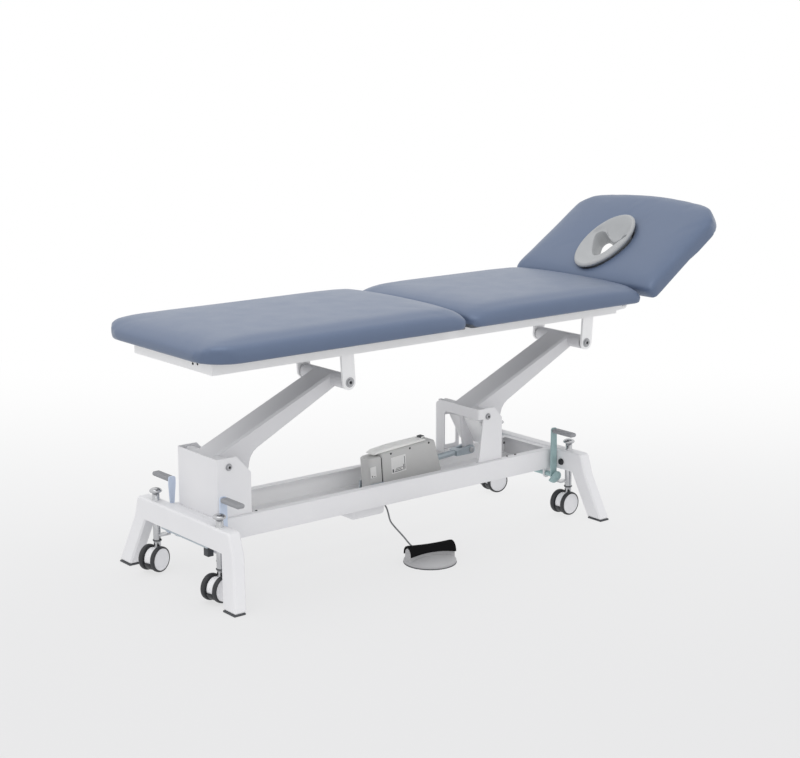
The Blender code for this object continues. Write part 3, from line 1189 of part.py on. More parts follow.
def assemble():
    root = pivot("table_root", (0, 0, 0))

    piece("base_trough", trough(), WHITE_STEEL, root)
    for end_name, end in TABLE_ENDS.items():
        piece(f"{end_name}_end_bridge", bridge(end), WHITE_STEEL, root)
        for side_name, side in LEG_SIDES.items():
            piece(f"{end_name}_{side_name}_foot_pad", foot_pad(end, side), DARK_PLASTIC, root)
    piece("foot_end_tower", tower(FOOT_PIVOT_X, False), WHITE_STEEL, root)
    piece("head_end_tower", tower(HEAD_PIVOT_X, True), WHITE_STEEL, root)
    piece("foot_end_tower_pin", pivot_pin(FOOT_PIVOT_X, PIVOT_Z, TOWER_WIDTH / 2), CHROME, root)
    piece("head_end_tower_pin", pivot_pin(HEAD_PIVOT_X, PIVOT_Z, TOWER_WIDTH / 2), CHROME, root)
    piece("actuator_cradle", actuator_cradle(), ZINC_STEEL, root)
    piece("actuator_housing", actuator_housing(), GREY_PLASTIC, root)
    piece("actuator_cover", actuator_cover(), PALE_PLASTIC, root)
    piece("motor_cover", motor_cover(), GREY_PLASTIC, root)
    piece("belly_pan", belly_pan(), WHITE_STEEL, root)
    piece("cable_gland", gland(), DARK_PLASTIC, root)
    piece("foot_switch_cable", cable(), CABLE_GREY, root)
    piece("foot_switch_base", switch_base(), PALE_PLASTIC, root)

    rocker = pivot("foot_switch_rocker", (SWITCH_X, SWITCH_Y, RIDGE_Z), root)
    piece("foot_switch_pedal", saddle(), BLACK_RUBBER, rocker)

    for end_name, end in TABLE_ENDS.items():
        shaft = pivot(f"{end_name}_pedal_axis", (end * SHAFT_X, 0, SHAFT_Z), root)
        piece(f"{end_name}_pedal_shaft", pedal_shaft(end), ZINC_STEEL, shaft)
        for side_name, side in LEG_SIDES.items():
            corner = f"{end_name}_{side_name}"
            heading = CASTOR_HEADING[corner]
            piece(f"{corner}_pedal_pad", pedal_pad(end, side), GREY_RUBBER, shaft)
            stem = pivot(f"{corner}_stem_axis", (end * BAR_X, side * STEM_Y, STEM_BOTTOM), root)
            piece(f"{corner}_castor_stem", castor_stem(end, side), CHROME, stem)
            swivel = pivot(f"{corner}_swivel", (end * BAR_X, side * STEM_Y, STEM_BOTTOM), root)
            piece(f"{corner}_castor_fork", castor_fork(end, side, heading), WHITE_PLASTIC, swivel)
            hub = castor_place(end, side, heading) @ Vector((-TRAIL, 0, WHEEL_Z))
            axle = pivot(f"{corner}_axle", hub, root)
            for twin_name, twin in (("near", -1), ("far", 1)):
                wheel = castor_wheel(end, side, heading, twin)
                piece(f"{corner}_wheel_{twin_name}", wheel, WHITE_PLASTIC, axle)

    foot_lift = pivot("foot_arm_pivot", (FOOT_PIVOT_X, 0, PIVOT_Z), root)
    piece("foot_end_arm", bored(arm(FOOT_PIVOT_X), FOOT_PIVOT_X), WHITE_STEEL, foot_lift)
    head_lift = pivot("head_arm_pivot", (HEAD_PIVOT_X, 0, PIVOT_Z), root)
    piece("head_end_arm", driven_arm(), WHITE_STEEL, head_lift)
    piece("rod_pin", rod_pin(), CHROME, head_lift)
    push = pivot("rod_pivot", (ROD_PIN_X, 0, ROD_PIN_Z), root)
    piece("actuator_rod", actuator_rod(), ZINC_STEEL, push)

    hanger = pivot("table_top_pivot", (FOOT_PIVOT_X + ARM_RUN, 0, HANGER_Z), root)
    piece("top_frame", top_frame(), WHITE_STEEL, hanger)
    for name, x in (("foot_end", FOOT_PIVOT_X + ARM_RUN), ("head_end", HEAD_PIVOT_X + ARM_RUN)):
        pin = pivot_pin(x, HANGER_Z, LUG_SPREAD / 2, LUG_INNER - SEAT)
        piece(f"{name}_hanger_pin", pin, CHROME, hanger)
    piece("mid_board", section_board(MID_START + SEAT, MID_END - BOARD_INSET), PLYWOOD, hanger)
    piece("mid_cushion", section_cushion(MID_START, MID_END, 0.034, 0.034), LEATHERETTE, hanger)
    piece("fixed_hinge_leaf", fixed_leaf(), ZINC_STEEL, hanger)

    leg = pivot("leg_hinge", (LEG_HINGE_X, 0, LEG_HINGE_Z), root)
    piece("leg_board", section_board(LEG_END + BOARD_INSET, LEG_STOP, LEG_CORNER - BOARD_INSET), PLYWOOD, leg)
    piece("leg_cushion", section_cushion(LEG_END, LEG_STOP, LEG_CORNER, 0.034), LEATHERETTE, leg)
    piece("swinging_hinge_leaf", swinging_leaf(), ZINC_STEEL, leg)

    head = pivot("head_hinge", (HEAD_HINGE_X, 0, HEAD_HINGE_Z), root)
    piece("head_frame", head_frame(), WHITE_STEEL, head)
    piece("head_hinge_pin", head_hinge_pin(), CHROME, head)
    piece("head_board", head_board(), PLYWOOD, head)
    piece("head_cushion", head_cushion(), LEATHERETTE, head)
    piece("face_ring", face_ring(), SOFT_FOAM, head)

    stand_on_floor(root)


assemble()
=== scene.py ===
import json
import math

import bmesh
import bpy
from mathutils import Matrix, Vector


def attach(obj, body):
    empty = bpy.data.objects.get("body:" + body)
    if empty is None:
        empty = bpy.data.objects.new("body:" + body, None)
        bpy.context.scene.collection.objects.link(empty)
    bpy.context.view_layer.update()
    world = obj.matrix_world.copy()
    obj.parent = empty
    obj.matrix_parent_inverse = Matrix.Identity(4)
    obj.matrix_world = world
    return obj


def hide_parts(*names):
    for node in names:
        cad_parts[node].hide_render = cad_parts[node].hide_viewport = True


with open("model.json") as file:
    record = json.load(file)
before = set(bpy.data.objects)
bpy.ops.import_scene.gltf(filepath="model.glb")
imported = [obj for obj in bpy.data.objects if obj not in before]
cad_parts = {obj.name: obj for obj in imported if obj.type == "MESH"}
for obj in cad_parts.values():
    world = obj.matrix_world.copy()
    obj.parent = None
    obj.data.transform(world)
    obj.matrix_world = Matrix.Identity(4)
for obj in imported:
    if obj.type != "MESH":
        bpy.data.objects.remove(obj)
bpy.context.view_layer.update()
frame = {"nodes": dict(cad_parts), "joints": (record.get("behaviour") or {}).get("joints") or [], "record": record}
bodyOf = {node: body for body, nodes in frame["record"]["behaviour"]["bodies"].items() for node in nodes}
pivots = {joint["name"]: joint for joint in frame["joints"]}
liftPin = Vector((-0.588, 0.0, 0.354))  # foot end tower pin in the table's own frame
shift = Vector(pivots["lift"]["pos_m"]) - liftPin  # table's own frame to the shared one
toFrame = Matrix.Translation(shift)

print("stage: camera")
camera = {"place": (-3.0421, -3.932, 1.5796), "yaw": 51.33, "pitch": -12.185, "roll": -0.116, "lens": 75.971,
          "sensor": 36.0}


def addCamera(values):
    yaw, pitch, roll = (math.radians(values[key]) for key in ("yaw", "pitch", "roll"))
    ahead = Vector((math.cos(pitch) * math.cos(yaw), math.cos(pitch) * math.sin(yaw), math.sin(pitch)))
    right = ahead.cross(Vector((0, 0, 1))).normalized()
    up = right.cross(ahead)
    rolledRight = math.cos(roll) * right + math.sin(roll) * up
    rolledUp = math.cos(roll) * up - math.sin(roll) * right
    lens = bpy.data.cameras.new("photoView")
    lens.lens = values["lens"]
    lens.sensor_width = values["sensor"]
    lens.sensor_fit = "HORIZONTAL"
    eye = bpy.data.objects.new("photoView", lens)
    turn = Matrix((rolledRight, rolledUp, -ahead)).transposed().to_4x4()
    eye.matrix_world = Matrix.Translation(Vector(values["place"]) + shift) @ turn
    bpy.context.scene.collection.objects.link(eye)
    bpy.context.scene.camera = eye


addCamera(camera)
bpy.context.scene.view_settings.view_transform = "Standard"

welds = {"turned": 0.00002, "cad": 0.00001, "flat": 0.6}  # merging distances and the angle of a flat joint


# Outlines and lines: lists of points
def sweptPoints(stops, spacing):
    stops = [Vector(stop) for stop in stops]
    ghosts = [2 * stops[0] - stops[1]] + stops + [2 * stops[-1] - stops[-2]]
    points = [stops[0]]
    for before, start, end, after in zip(ghosts, ghosts[1:], ghosts[2:], ghosts[3:]):
        steps = max(1, round((end - start).length / spacing))
        for step in range(1, steps + 1):
            t = step / steps
            points.append(0.5 * (2 * start + (end - before) * t
                                 + (2 * before - 5 * start + 4 * end - after) * t**2
                                 + (3 * start - before - 3 * end + after) * t**3))
    return points


def filleted(corners, steps=6):
    points = []
    for index, (x, y, radius) in enumerate(corners):
        here = Vector((x, y))
        if radius <= 0:
            points.append((x, y))
            continue
        before = (Vector(corners[index - 1][:2]) - here).normalized()
        after = (Vector(corners[(index + 1) % len(corners)][:2]) - here).normalized()
        half = before.angle(after) / 2
        centre = here + (before + after).normalized() * radius / math.sin(half)
        start = here + before * radius / math.tan(half) - centre
        end = here + after * radius / math.tan(half) - centre
        sweep = start.angle_signed(end)
        for step in range(steps + 1):
            spoke = start.copy()
            spoke.rotate(Matrix.Rotation(-sweep * step / steps, 2))
            points.append(tuple(centre + spoke))
    return points


def plate(low, high, half, lowRadius, highRadius, steps):
    return filleted([(low, -half, lowRadius), (high, -half, highRadius), (high, half, highRadius),
                     (low, half, lowRadius)], steps)


def finely(loop, most=0.03):
    points = []
    for start, end in zip(loop, loop[1:] + loop[:1]):
        count = max(1, math.ceil(math.dist(start, end) / most))
        for step in range(count):
            points.append(tuple(one + (other - one) * step / count for one, other in zip(start, end)))
    return points


def around(steps):
    return [2 * math.pi * step / steps for step in range(steps)]


# Shapes: each function gives a bmesh in the table's own frame
def placed(shape, matrix):
    bmesh.ops.transform(shape, matrix=matrix, verts=shape.verts)
    if matrix.is_negative:
        bmesh.ops.reverse_faces(shape, faces=shape.faces)
    return shape


def softened(shape, width, segments=3, angle=30):
    sharp = [edge for edge in shape.edges
             if len(edge.link_faces) == 2 and edge.calc_face_angle() > math.radians(angle)]
    bmesh.ops.bevel(shape, geom=sharp, affect="EDGES", offset=width, segments=segments, profile=0.5,
                    material=-1, clamp_overlap=True)
    return shape


def brick(low, high, width, segments=3):
    low, high = Vector(low), Vector(high)
    shape = bmesh.new()
    bmesh.ops.create_cube(shape, size=1.0)
    bmesh.ops.scale(shape, vec=high - low, verts=shape.verts)
    bmesh.ops.translate(shape, vec=(low + high) / 2, verts=shape.verts)
    return softened(shape, width, segments)


def lathed(profile, steps, matrix):
    shape = bmesh.new()
    points = [shape.verts.new((radius, 0, height)) for radius, height in profile]
    edges = [shape.edges.new(pair) for pair in zip(points, points[1:])]
    bmesh.ops.spin(shape, geom=points + edges, cent=(0, 0, 0), axis=(0, 0, 1), angle=2 * math.pi, steps=steps,
                   use_merge=True)
    bmesh.ops.remove_doubles(shape, verts=shape.verts, dist=welds["turned"])
    bmesh.ops.recalc_face_normals(shape, faces=shape.faces)
    return placed(shape, matrix)


def slab(loop, depth, matrix, width=0.0, segments=3):
    shape = bmesh.new()
    face = shape.faces.new([shape.verts.new((x, y, -depth / 2)) for x, y in loop])
    raised = bmesh.ops.extrude_face_region(shape, geom=[face])
    lifted = [item for item in raised["geom"] if isinstance(item, bmesh.types.BMVert)]
    bmesh.ops.translate(shape, vec=(0, 0, depth), verts=lifted)
    bmesh.ops.recalc_face_normals(shape, faces=shape.faces)
    if width:
        softened(shape, width, segments, angle=50)
    return placed(shape, matrix)


def lofted(rings, closed=False):
    shape = bmesh.new()
    rows = [[shape.verts.new(point) for point in ring] for ring in rings]
    count = len(rows[0])
    pairs = list(zip(rows, rows[1:])) + ([(rows[-1], rows[0])] if closed else [])
    for lower, upper in pairs:
        for index in range(count):
            after = (index + 1) % count
            shape.faces.new((lower[index], lower[after], upper[after], upper[index]))
    if not closed:
        shape.faces.new(rows[0])
        shape.faces.new(rows[-1])
    bmesh.ops.recalc_face_normals(shape, faces=shape.faces)
    return shape


def hoop(shape, points):
    verts = [shape.verts.new(point) for point in points]
    return verts, [shape.edges.new(pair) for pair in zip(verts, verts[1:] + verts[:1])]


def cadShape(node):
    shape = bmesh.new()
    shape.from_mesh(frame["nodes"][node].data)
    bmesh.ops.remove_doubles(shape, verts=shape.verts, dist=welds["cad"])
    bmesh.ops.dissolve_limit(shape, angle_limit=math.radians(welds["flat"]), verts=shape.verts,
                             edges=shape.edges)
    bmesh.ops.recalc_face_normals(shape, faces=shape.faces)
    return shape


def along(start, axis):
    turn = Vector((0, 0, 1)).rotation_difference(Vector(axis))
    return Matrix.Translation(start) @ turn.to_matrix().to_4x4()


def sideView(y):
    return Matrix.Translation((0, y, 0)) @ Matrix.Rotation(math.pi / 2, 4, "X")


def endView(side):
    return Matrix(((0, 0, 1, 0), (side, 0, 0, 0), (0, 1, 0, 0), (0, 0, 0, 1)))


# Objects: pieces that ride on a body
def linked(name, shape):
    mesh = bpy.data.meshes.new(name)
    shape.to_mesh(mesh)
    shape.free()
    solid = bpy.data.objects.new(name, mesh)
    bpy.context.scene.collection.objects.link(solid)
    return solid


def piece(name, shape, material, body, replaces=(), angle=38, inFrame=False):
    solid = linked(name, shape if inFrame else placed(shape, toFrame))
    solid.data.materials.append(material)
    solid.data.shade_smooth()
    solid.data.set_sharp_from_angle(angle=math.radians(angle))
    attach(solid, body)
    if replaces:
        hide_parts(*replaces)
    return solid


def roundEdges(solid, width):
    rounding = solid.modifiers.new("rounding", "BEVEL")
    rounding.width = width
    rounding.segments = 3
    rounding.limit_method = "ANGLE"
    rounding.angle_limit = math.radians(32)
    rounding.harden_normals = True


def dressed(node, material, width, shape=None):
    solid = piece(node + "Skin", shape or cadShape(node), material, bodyOf[node], (node,), inFrame=True)
    roundEdges(solid, width)


def baked(solid):
    evaluated = solid.evaluated_get(bpy.context.evaluated_depsgraph_get())
    mesh = bpy.data.meshes.new_from_object(evaluated)
    solid.modifiers.clear()
    old = solid.data
    solid.data = mesh
    bpy.data.meshes.remove(old)


def cutBy(solid, shape):
    cutter = linked("cutter", shape)
    opening = solid.modifiers.new("opening", "BOOLEAN")
    opening.solver = "EXACT"
    opening.operation = "DIFFERENCE"
    opening.object = cutter
    baked(solid)
    bpy.data.objects.remove(cutter, do_unlink=True)


print("stage: materials")


def tint(code):
    channels = [int(code[index:index + 2], 16) / 255 for index in (1, 3, 5)]
    linear = [value / 12.92 if value <= 0.04045 else ((value + 0.055) / 1.055) ** 2.4 for value in channels]
    return (*linear, 1.0)


def addNode(owner, kind, inputs=None, **settings):
    node = owner.node_tree.nodes.new(kind)
    for key, value in settings.items():
        setattr(node, key, value)
    for key, value in (inputs or {}).items():
        if isinstance(value, bpy.types.NodeSocket):
            owner.node_tree.links.new(value, node.inputs[key])
        else:
            node.inputs[key].default_value = value
    return node


def surface(name, dark, pale, rough, metal=0.0, mottle=40.0, cells=(), grain=(), stretch=(1, 1, 1), sheen=0.0,
            shine=0.5, cast="#FFFFFF"):
    material = bpy.data.materials.new(name)
    material.use_nodes = True
    shader = material.node_tree.nodes["Principled BSDF"]
    place = addNode(material, "ShaderNodeTexCoord").outputs["Object"]
    cloud = addNode(material, "ShaderNodeTexNoise",  # mottle: size of the clouds in mm
                    {"Vector": place, "Scale": 1000 / mottle, "Detail": 4.0}).outputs["Fac"]
    tone = addNode(material, "ShaderNodeMix", {"Factor": cloud, "A": tint(dark), "B": tint(pale)},
                   data_type="RGBA")
    worn = addNode(material, "ShaderNodeMapRange", {"Value": cloud, "From Min": 0.3, "From Max": 0.7,
                                                    "To Min": rough[0], "To Max": rough[1]})
    links = material.node_tree.links
    links.new(tone.outputs["Result"], shader.inputs["Base Color"])
    links.new(worn.outputs["Result"], shader.inputs["Roughness"])
    for socket, value in (("Metallic", metal), ("Sheen Weight", sheen), ("Specular IOR Level", shine),
                          ("Specular Tint", tint(cast))):
        shader.inputs[socket].default_value = value
    drawn = addNode(material, "ShaderNodeMapping", {"Vector": place, "Scale": stretch}).outputs["Vector"]
    layers = [("ShaderNodeTexVoronoi", {}, "Distance", *layer) for layer in cells]
    layers += [("ShaderNodeTexNoise", {"Detail": 3.0}, "Fac", *layer) for layer in grain]
    under = None
    for kind, more, output, size, height in layers:  # sizes and heights of the patterns in mm
        source = addNode(material, kind, {"Vector": drawn, "Scale": 1000 / size, **more}).outputs[output]
        bump = addNode(material, "ShaderNodeBump",
                       {"Height": source, "Distance": height / 1000, "Strength": 1.0})
        if under:
            links.new(under, bump.inputs["Normal"])
        under = bump.outputs["Normal"]
    if under:
        links.new(under, shader.inputs["Normal"])
    return material


orangePeel = ((1.6, 0.03), (0.4, 0.008))
plated = ((0.8, 0.012),)
drawnDown = (1, 1, 0.15)

# soft blue-grey upholstery with a dull sheen; its fine pebbles are drawn at 1.3 mm so that they show
leatherette = surface("blueGreyLeatherette", "#55627A", "#5B6880", (0.34, 0.4), mottle=70, sheen=0.06,
                      shine=0.75, cast="#D8E8FF", cells=((1.3, 0.07),), grain=((9.0, 0.1),))
# smooth satin white paint with a faint orange peel
powderCoat = surface("whitePowderCoat", "#DEDEE1", "#E4E4E6", (0.36, 0.46), mottle=120, grain=orangePeel)
# the same paint made paler where it lies in the shade of the top: painted light that lifts the shade
paintedLightCoat = surface("paintedLightPowderCoat", "#F5F5F6", "#F9F9FA", (0.38, 0.48), mottle=120, grain=orangePeel)
# the arms' paint, a shade greyer: painted shade of the pads above them
paintedShadeCoat = surface("paintedShadePowderCoat", "#D5D5D8", "#DBDBDE", (0.38, 0.48), mottle=120, grain=orangePeel)
# pale blue plated flat bar, cloudy as zinc is
blueZinc = surface("blueZincPlate", "#C0CDE2", "#D0DAEA", (0.32, 0.46), metal=0.2, mottle=9, grain=plated,
                   stretch=drawnDown)
# greener zinc of the head end's levers
tealZinc = surface("tealZincPlate", "#93AFB1", "#AAC1C2", (0.34, 0.48), metal=0.2, mottle=9, grain=plated,
                   stretch=drawnDown)
# grey zinc of rods, brackets and hinge leaves
zincPlate = surface("zincPlatedSteel", "#A8B3BB", "#BEC7CD", (0.3, 0.44), metal=0.5, mottle=9, grain=plated,
                    stretch=drawnDown)
# bright turned steel with lathe marks round it
chrome = surface("chromedSteel", "#B4B5B8", "#C9CACC", (0.14, 0.26), metal=1.0, mottle=15,
                 grain=((0.6, 0.006),), stretch=(0.2, 0.2, 1))
# satin steel bolt heads
boltSteel = surface("satinBoltSteel", "#A9AAAD", "#BDBEC1", (0.3, 0.42), metal=0.8, mottle=5,
                    grain=((0.4, 0.008),))
# dark moulded foot caps, matt and slightly chalky
charcoalPlastic = surface("charcoalPlastic", "#3C3E42", "#4A4C50", (0.55, 0.7), mottle=12,
                          grain=((0.5, 0.02),))
# soft dark castor tyres, worn matt on the tread
tyreRubber = surface("castorTyre", "#27282B", "#323336", (0.45, 0.62), mottle=8, grain=((0.4, 0.02),))
# pale grey moulded wheel discs with a low gloss
discPlastic = surface("wheelDiscPlastic", "#E0E0E3", "#E9E9EB", (0.3, 0.4), mottle=18,
                      grain=((0.7, 0.012),))
# white castor bodies
whitePlastic = surface("whitePlastic", "#E4E4E7", "#ECECEE", (0.3, 0.42), mottle=20, grain=plated)
# grey pedal sleeves with a rubbery bloom
greyRubber = surface("greyRubber", "#8C8D91", "#9A9B9F", (0.6, 0.78), mottle=14, grain=((0.5, 0.04),))
# spark-eroded grey actuator shells
greyPlastic = surface("greyPlastic", "#BFBFBF", "#C7C7C6", (0.46, 0.6), mottle=30, grain=((0.45, 0.03),))
# warmer, paler lid, made paler still: painted light where it lies in shade
paleLitPlastic = surface("paleLitPlastic", "#F0F0EE", "#F5F5F3", (0.46, 0.6), mottle=30, grain=((0.45, 0.03),))
# matt paper of a bare rating label
labelPaper = surface("labelPaper", "#DADADA", "#E6E6E5", (0.55, 0.7), mottle=6, grain=((0.5, 0.008),))
# grey print of the rating label, plain bars
labelInk = surface("labelInk", "#4A4B4F", "#5A5B5F", (0.55, 0.7), mottle=4, grain=((0.4, 0.004),))
# switch base, smooth and a little darker than the actuator
switchGrey = surface("switchGrey", "#A2A2A4", "#ACACAE", (0.4, 0.54), mottle=22, grain=((0.6, 0.02),))
# black saddle, finely grained so the foot doesn't slip
blackRubber = surface("blackRubber", "#0B0B0C", "#121214", (0.7, 0.84), mottle=10, shine=0.08,
                      cells=((1.1, 0.06),), grain=((0.4, 0.02),))
# black oxide screws and moulded guards
blackSteel = surface("blackOxideSteel", "#1E1F22", "#2B2C30", (0.36, 0.5), metal=0.2, mottle=6,
                     grain=((0.4, 0.01),))
# matt cable sheath
cableSheath = surface("cableSheath", "#66686B", "#727477", (0.5, 0.62), mottle=9, grain=((0.4, 0.015),))
# grey lining cloth under the boards
liningCloth = surface("liningCloth", "#4B5058", "#585D65", (0.8, 0.95), mottle=5, cells=((0.8, 0.05),))
# pale face piece with the closed, silky skin of moulded foam
foamSkin = surface("mouldedFoamSkin", "#9EA0A2", "#A8AAAC", (0.44, 0.56), mottle=30, sheen=0.04,
                   grain=((0.9, 0.02),))

print("stage: cable")
cable = {
    "stops": [(-0.0044, -0.052, 0.126), (0.0006, -0.052, 0.126), (0.008, -0.0545, 0.113),
              (0.011, -0.059, 0.096), (0.0125, -0.067, 0.0742), (0.018, -0.082, 0.0576),
              (0.027, -0.11, 0.0343), (0.032, -0.14, 0.0126), (0.035, -0.164, 0.0055),
              (0.03315, -0.18303, 0.0075), (0.03136, -0.1877, 0.0075)],
    "diameter": 0.005, "spacing": 0.007,
}


def addCable(values):
    points = [point + shift for point in sweptPoints(values["stops"], values["spacing"])]
    curve = bpy.data.curves.new("footSwitchCable", "CURVE")
    curve.dimensions = "3D"
    curve.bevel_depth = values["diameter"] / 2
    curve.bevel_resolution = 5
    curve.use_fill_caps = True
    spline = curve.splines.new("POLY")
    spline.points.add(len(points) - 1)
    for knot, point in zip(spline.points, points):
        knot.co = (*point, 1)
    spline.use_smooth = True
    curve.materials.append(cableSheath)
    solid = bpy.data.objects.new("footSwitchCable", curve)
    bpy.context.scene.collection.objects.link(solid)
    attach(solid, "base")
    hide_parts("foot_switch_cable")


addCable(cable)

print("stage: cushions")
headFrame = Matrix.Translation((0.862, 0, 0.672)) @ Matrix.Rotation(-math.radians(35), 4, "Y")
padding = {"drawn": 0.003, "drawnReach": 0.1, "cornerGrowth": 0.4, "cornerLimit": 0.46, "pull": (0.07, 0.05),
           "seat": 0.032, "sole": 0.01, "lip": (0.002, 0.001), "plug": 0.3, "voxel": 0.0075, "eased": 3,
           "still": 0.004,
           "insets": (0, 2, 5, 9, 13, 20, 30, 40, 50, 60, 75, 95, 125, 160, 205)}  # insets in mm
stuffing = {"pressure": 4.0, "swell": 0.004, "quality": 5, "mass": 0.4, "stiffness": 20, "bending": 4,
            "frames": 20, "held": 0.012, "ringHeld": (1.02, 0.12)}  # swell: most that a pad may grow, in m
bevelled = ((0, 38.0), (2, 31.0), (5, 23.0), (9, 17.5), (13, 14.5), (50, 3.0), (60, 1.2), (75, 0.4), (110, 0))
rounded = ((0, 16.0), (5, 11.0), (9, 8.0), (13, 5.9), (20, 3.4), (30, 1.6), (50, 0.3), (75, 0.0))
flatPad = {"half": 0.2995, "floor": 0.685, "top": 0.7508, "crown": 0.003, "recess": 0.0, "side": bevelled,
           "bow": 0.0, "lean": 0.0}
cushions = {  # side: drop of the edge over its depth in mm; foot and head: drop at the end and its reach
    "legCushion": {**flatPad, "node": "leg_cushion", "low": -0.759, "high": 0.132, "foot": (0.036, 0.036),
                   "head": (0.016, 0.022), "cornerLow": 0.1, "cornerHigh": 0.034, "pillow": (0.0, 0.024)},
    "midCushion": {**flatPad, "node": "mid_cushion", "low": 0.148, "high": 0.8565, "foot": (0.02, 0.036),
                   "head": (0.018, 0.022), "cornerLow": 0.036, "cornerHigh": 0.026, "pillow": (0.022, 0.022)},
    "headCushion": {"half": 0.32, "floor": 0.005, "top": 0.064, "crown": 0.002, "recess": 0.0085,
                    "side": rounded, "bow": 0.032, "lean": 0.011, "node": "head_cushion", "low": 0.031,
                    "high": 0.476, "foot": (0.02, 0.018), "head": (0.018, 0.016), "cornerLow": 0.016,
                    "cornerHigh": 0.124, "pillow": (0.0, 0.0)},
}
ring = {
    "x": 0.1905, "half": (0.13, 0.0868), "egg": 0.02, "seat": 0.9, "seatSteps": 64, "steps": 240,
    "under": 0.0652, "rim": 0.0818,  # outlines: share of the half size, height over under or rim
    "overUnder": ((0.87, -0.013), (0.9, -0.0036), (0.962, 0.0), (1.004, 0.0038), (1.022, 0.0092)),
    "overRim": ((1.01, -0.004), (0.98, -0.0015), (0.958, -0.0002), (0.935, -0.0005), (0.912, -0.002)),
    "dishSteps": 10, "dishCurve": 1.1,
    "lip": ((0.0012, 0.0012), (0.0022, 0.004)),
    "tube": ((-0.0022, 0.024), (-0.0022, 0.0132), (0.0, 0.0114), (0.003, 0.0114), (0.0045, 0.03)),
    "back": {"share": 0.83, "wall": 0.0055, "below": 0.008, "most": 0.046},
    "throat": [(0, 0.0335, 0.044), (18.2, 0.0384, 0.045), (31.5, 0.0516, 0.05), (37.0, 0.0632, 0.06),
               (42.5, 0.074, 0.065), (49.1, 0.0794, 0.068), (57.3, 0.0778, 0.071), (67.3, 0.0699, 0.0735),
               (84.8, 0.0552, 0.073), (115.5, 0.0465, 0.07), (146.9, 0.0513, 0.066), (168.3, 0.0592, 0.0645),
               (180, 0.062, 0.064)],  # degrees from the head end, radius, height of the edge
}


def edgeDrop(table, depth):
    for (start, high), (end, low) in zip(table, table[1:]):
        if depth * 1000 <= end:
            return (high + (low - high) * max(0.0, depth * 1000 - start) / (end - start)) / 1000
    return 0.0


def padRing(values, inset, level=None):
    low, high, half = values["low"] + inset, values["high"] - inset, values["half"] - inset
    length = values["high"] - values["low"]
    limit = padding["cornerLimit"] * min(high - low, 2 * half)
    growth = padding["cornerGrowth"] * inset
    radii = [min(limit, values[corner] + growth) for corner in ("cornerLow", "cornerHigh")]
    pullSide, pullEnd = padding["pull"]
    points = []
    for x, y in finely(plate(low, high, half, *radii, steps=10)):
        depth = values["half"] - abs(y)
        gaps = (x - values["low"], values["high"] - x)
        falls = [edgeDrop(values["side"], depth)]
        for (fall, reach), gap in zip((values["foot"], values["head"]), gaps):
            falls.append(fall * math.exp(-gap / reach))
        drop = math.hypot(*falls) + values["crown"] * (1 - depth / values["half"]) ** 2
        for fall, gap in zip(values["pillow"], gaps):  # the corners are pulled down
            drop += fall * math.exp(-depth / pullSide - gap / pullEnd)
        ahead = max(0.0, gaps[0] / length - 0.5) * 2
        bow = values["bow"] * ahead**2 * (math.cos(math.pi * y / (2 * values["half"])) - 1)
        draw = padding["drawn"] * math.sin(math.pi * (x - low) / (high - low)) ** 2
        draw *= max(0.0, 1 - inset / padding["drawnReach"])
        z = values["top"] - drop if level is None else level
        if level is None or inset < padding["seat"]:
            z -= values["lean"] * gaps[0] / length
        points.append((x + bow, y - math.copysign(draw, y) * min(1.0, abs(y) / half), z))
    return points


def padShape(values):
    inset, rise = padding["lip"]
    floor = values["floor"]
    loops = [padRing(values, padding["seat"], floor + values["recess"]),
             padRing(values, padding["sole"], floor), padRing(values, inset, floor + rise)]
    loops += [padRing(values, inset / 1000) for inset in padding["insets"]]
    shape = bmesh.new()
    hoops = [hoop(shape, loop) for loop in loops]
    for verts, edges in (hoops[0], hoops[-1]):
        shape.faces.new(verts)
    for lower, upper in zip(hoops, hoops[1:]):
        bmesh.ops.bridge_loops(shape, edges=lower[1] + upper[1])
    bmesh.ops.triangulate(shape, faces=shape.faces)
    bmesh.ops.recalc_face_normals(shape, faces=shape.faces)
    return shape


def puffed(solid, floor, hole, values):
    held = solid.vertex_groups.new(name="held")
    for vert in solid.data.vertices:
        weight = max(0.0, min(1.0, 1.0 - (vert.co.z - floor) / values["held"]))
        if hole:
            edge, fade = values["ringHeld"]
            reach = math.hypot((vert.co.x - hole["x"]) / hole["half"][0], vert.co.y / hole["half"][1])
            weight = max(weight, min(1.0, max(0.0, (edge - reach) / fade)))
        held.add([vert.index], weight, "REPLACE")
    before = [vert.co.copy() for vert in solid.data.vertices]
    cloth = solid.modifiers.new("puff", "CLOTH")
    cloth.settings.quality = values["quality"]
    cloth.settings.mass = values["mass"]
    cloth.settings.tension_stiffness = values["stiffness"]
    cloth.settings.compression_stiffness = values["stiffness"]
    cloth.settings.bending_stiffness = values["bending"]
    cloth.settings.use_pressure = True
    cloth.settings.uniform_pressure_force = values["pressure"]
    cloth.settings.vertex_group_mass = "held"
    cloth.settings.effector_weights.gravity = 0
    cloth.point_cache.frame_start = 1
    cloth.point_cache.frame_end = values["frames"]
    for number in range(1, values["frames"] + 1):
        bpy.context.scene.frame_set(number)
    baked(solid)
    bpy.context.scene.frame_set(1)
    moves = [vert.co - start for vert, start in zip(solid.data.vertices, before)]
    most = max(move.length for move in moves)
    share = min(1.0, values["swell"] / most)
    for vert, start, move in zip(solid.data.vertices, before, moves):
        vert.co = start + move * share
    print("puffed", solid.name, "moved", round(most * 1000, 1), "mm, kept share", round(share, 3))


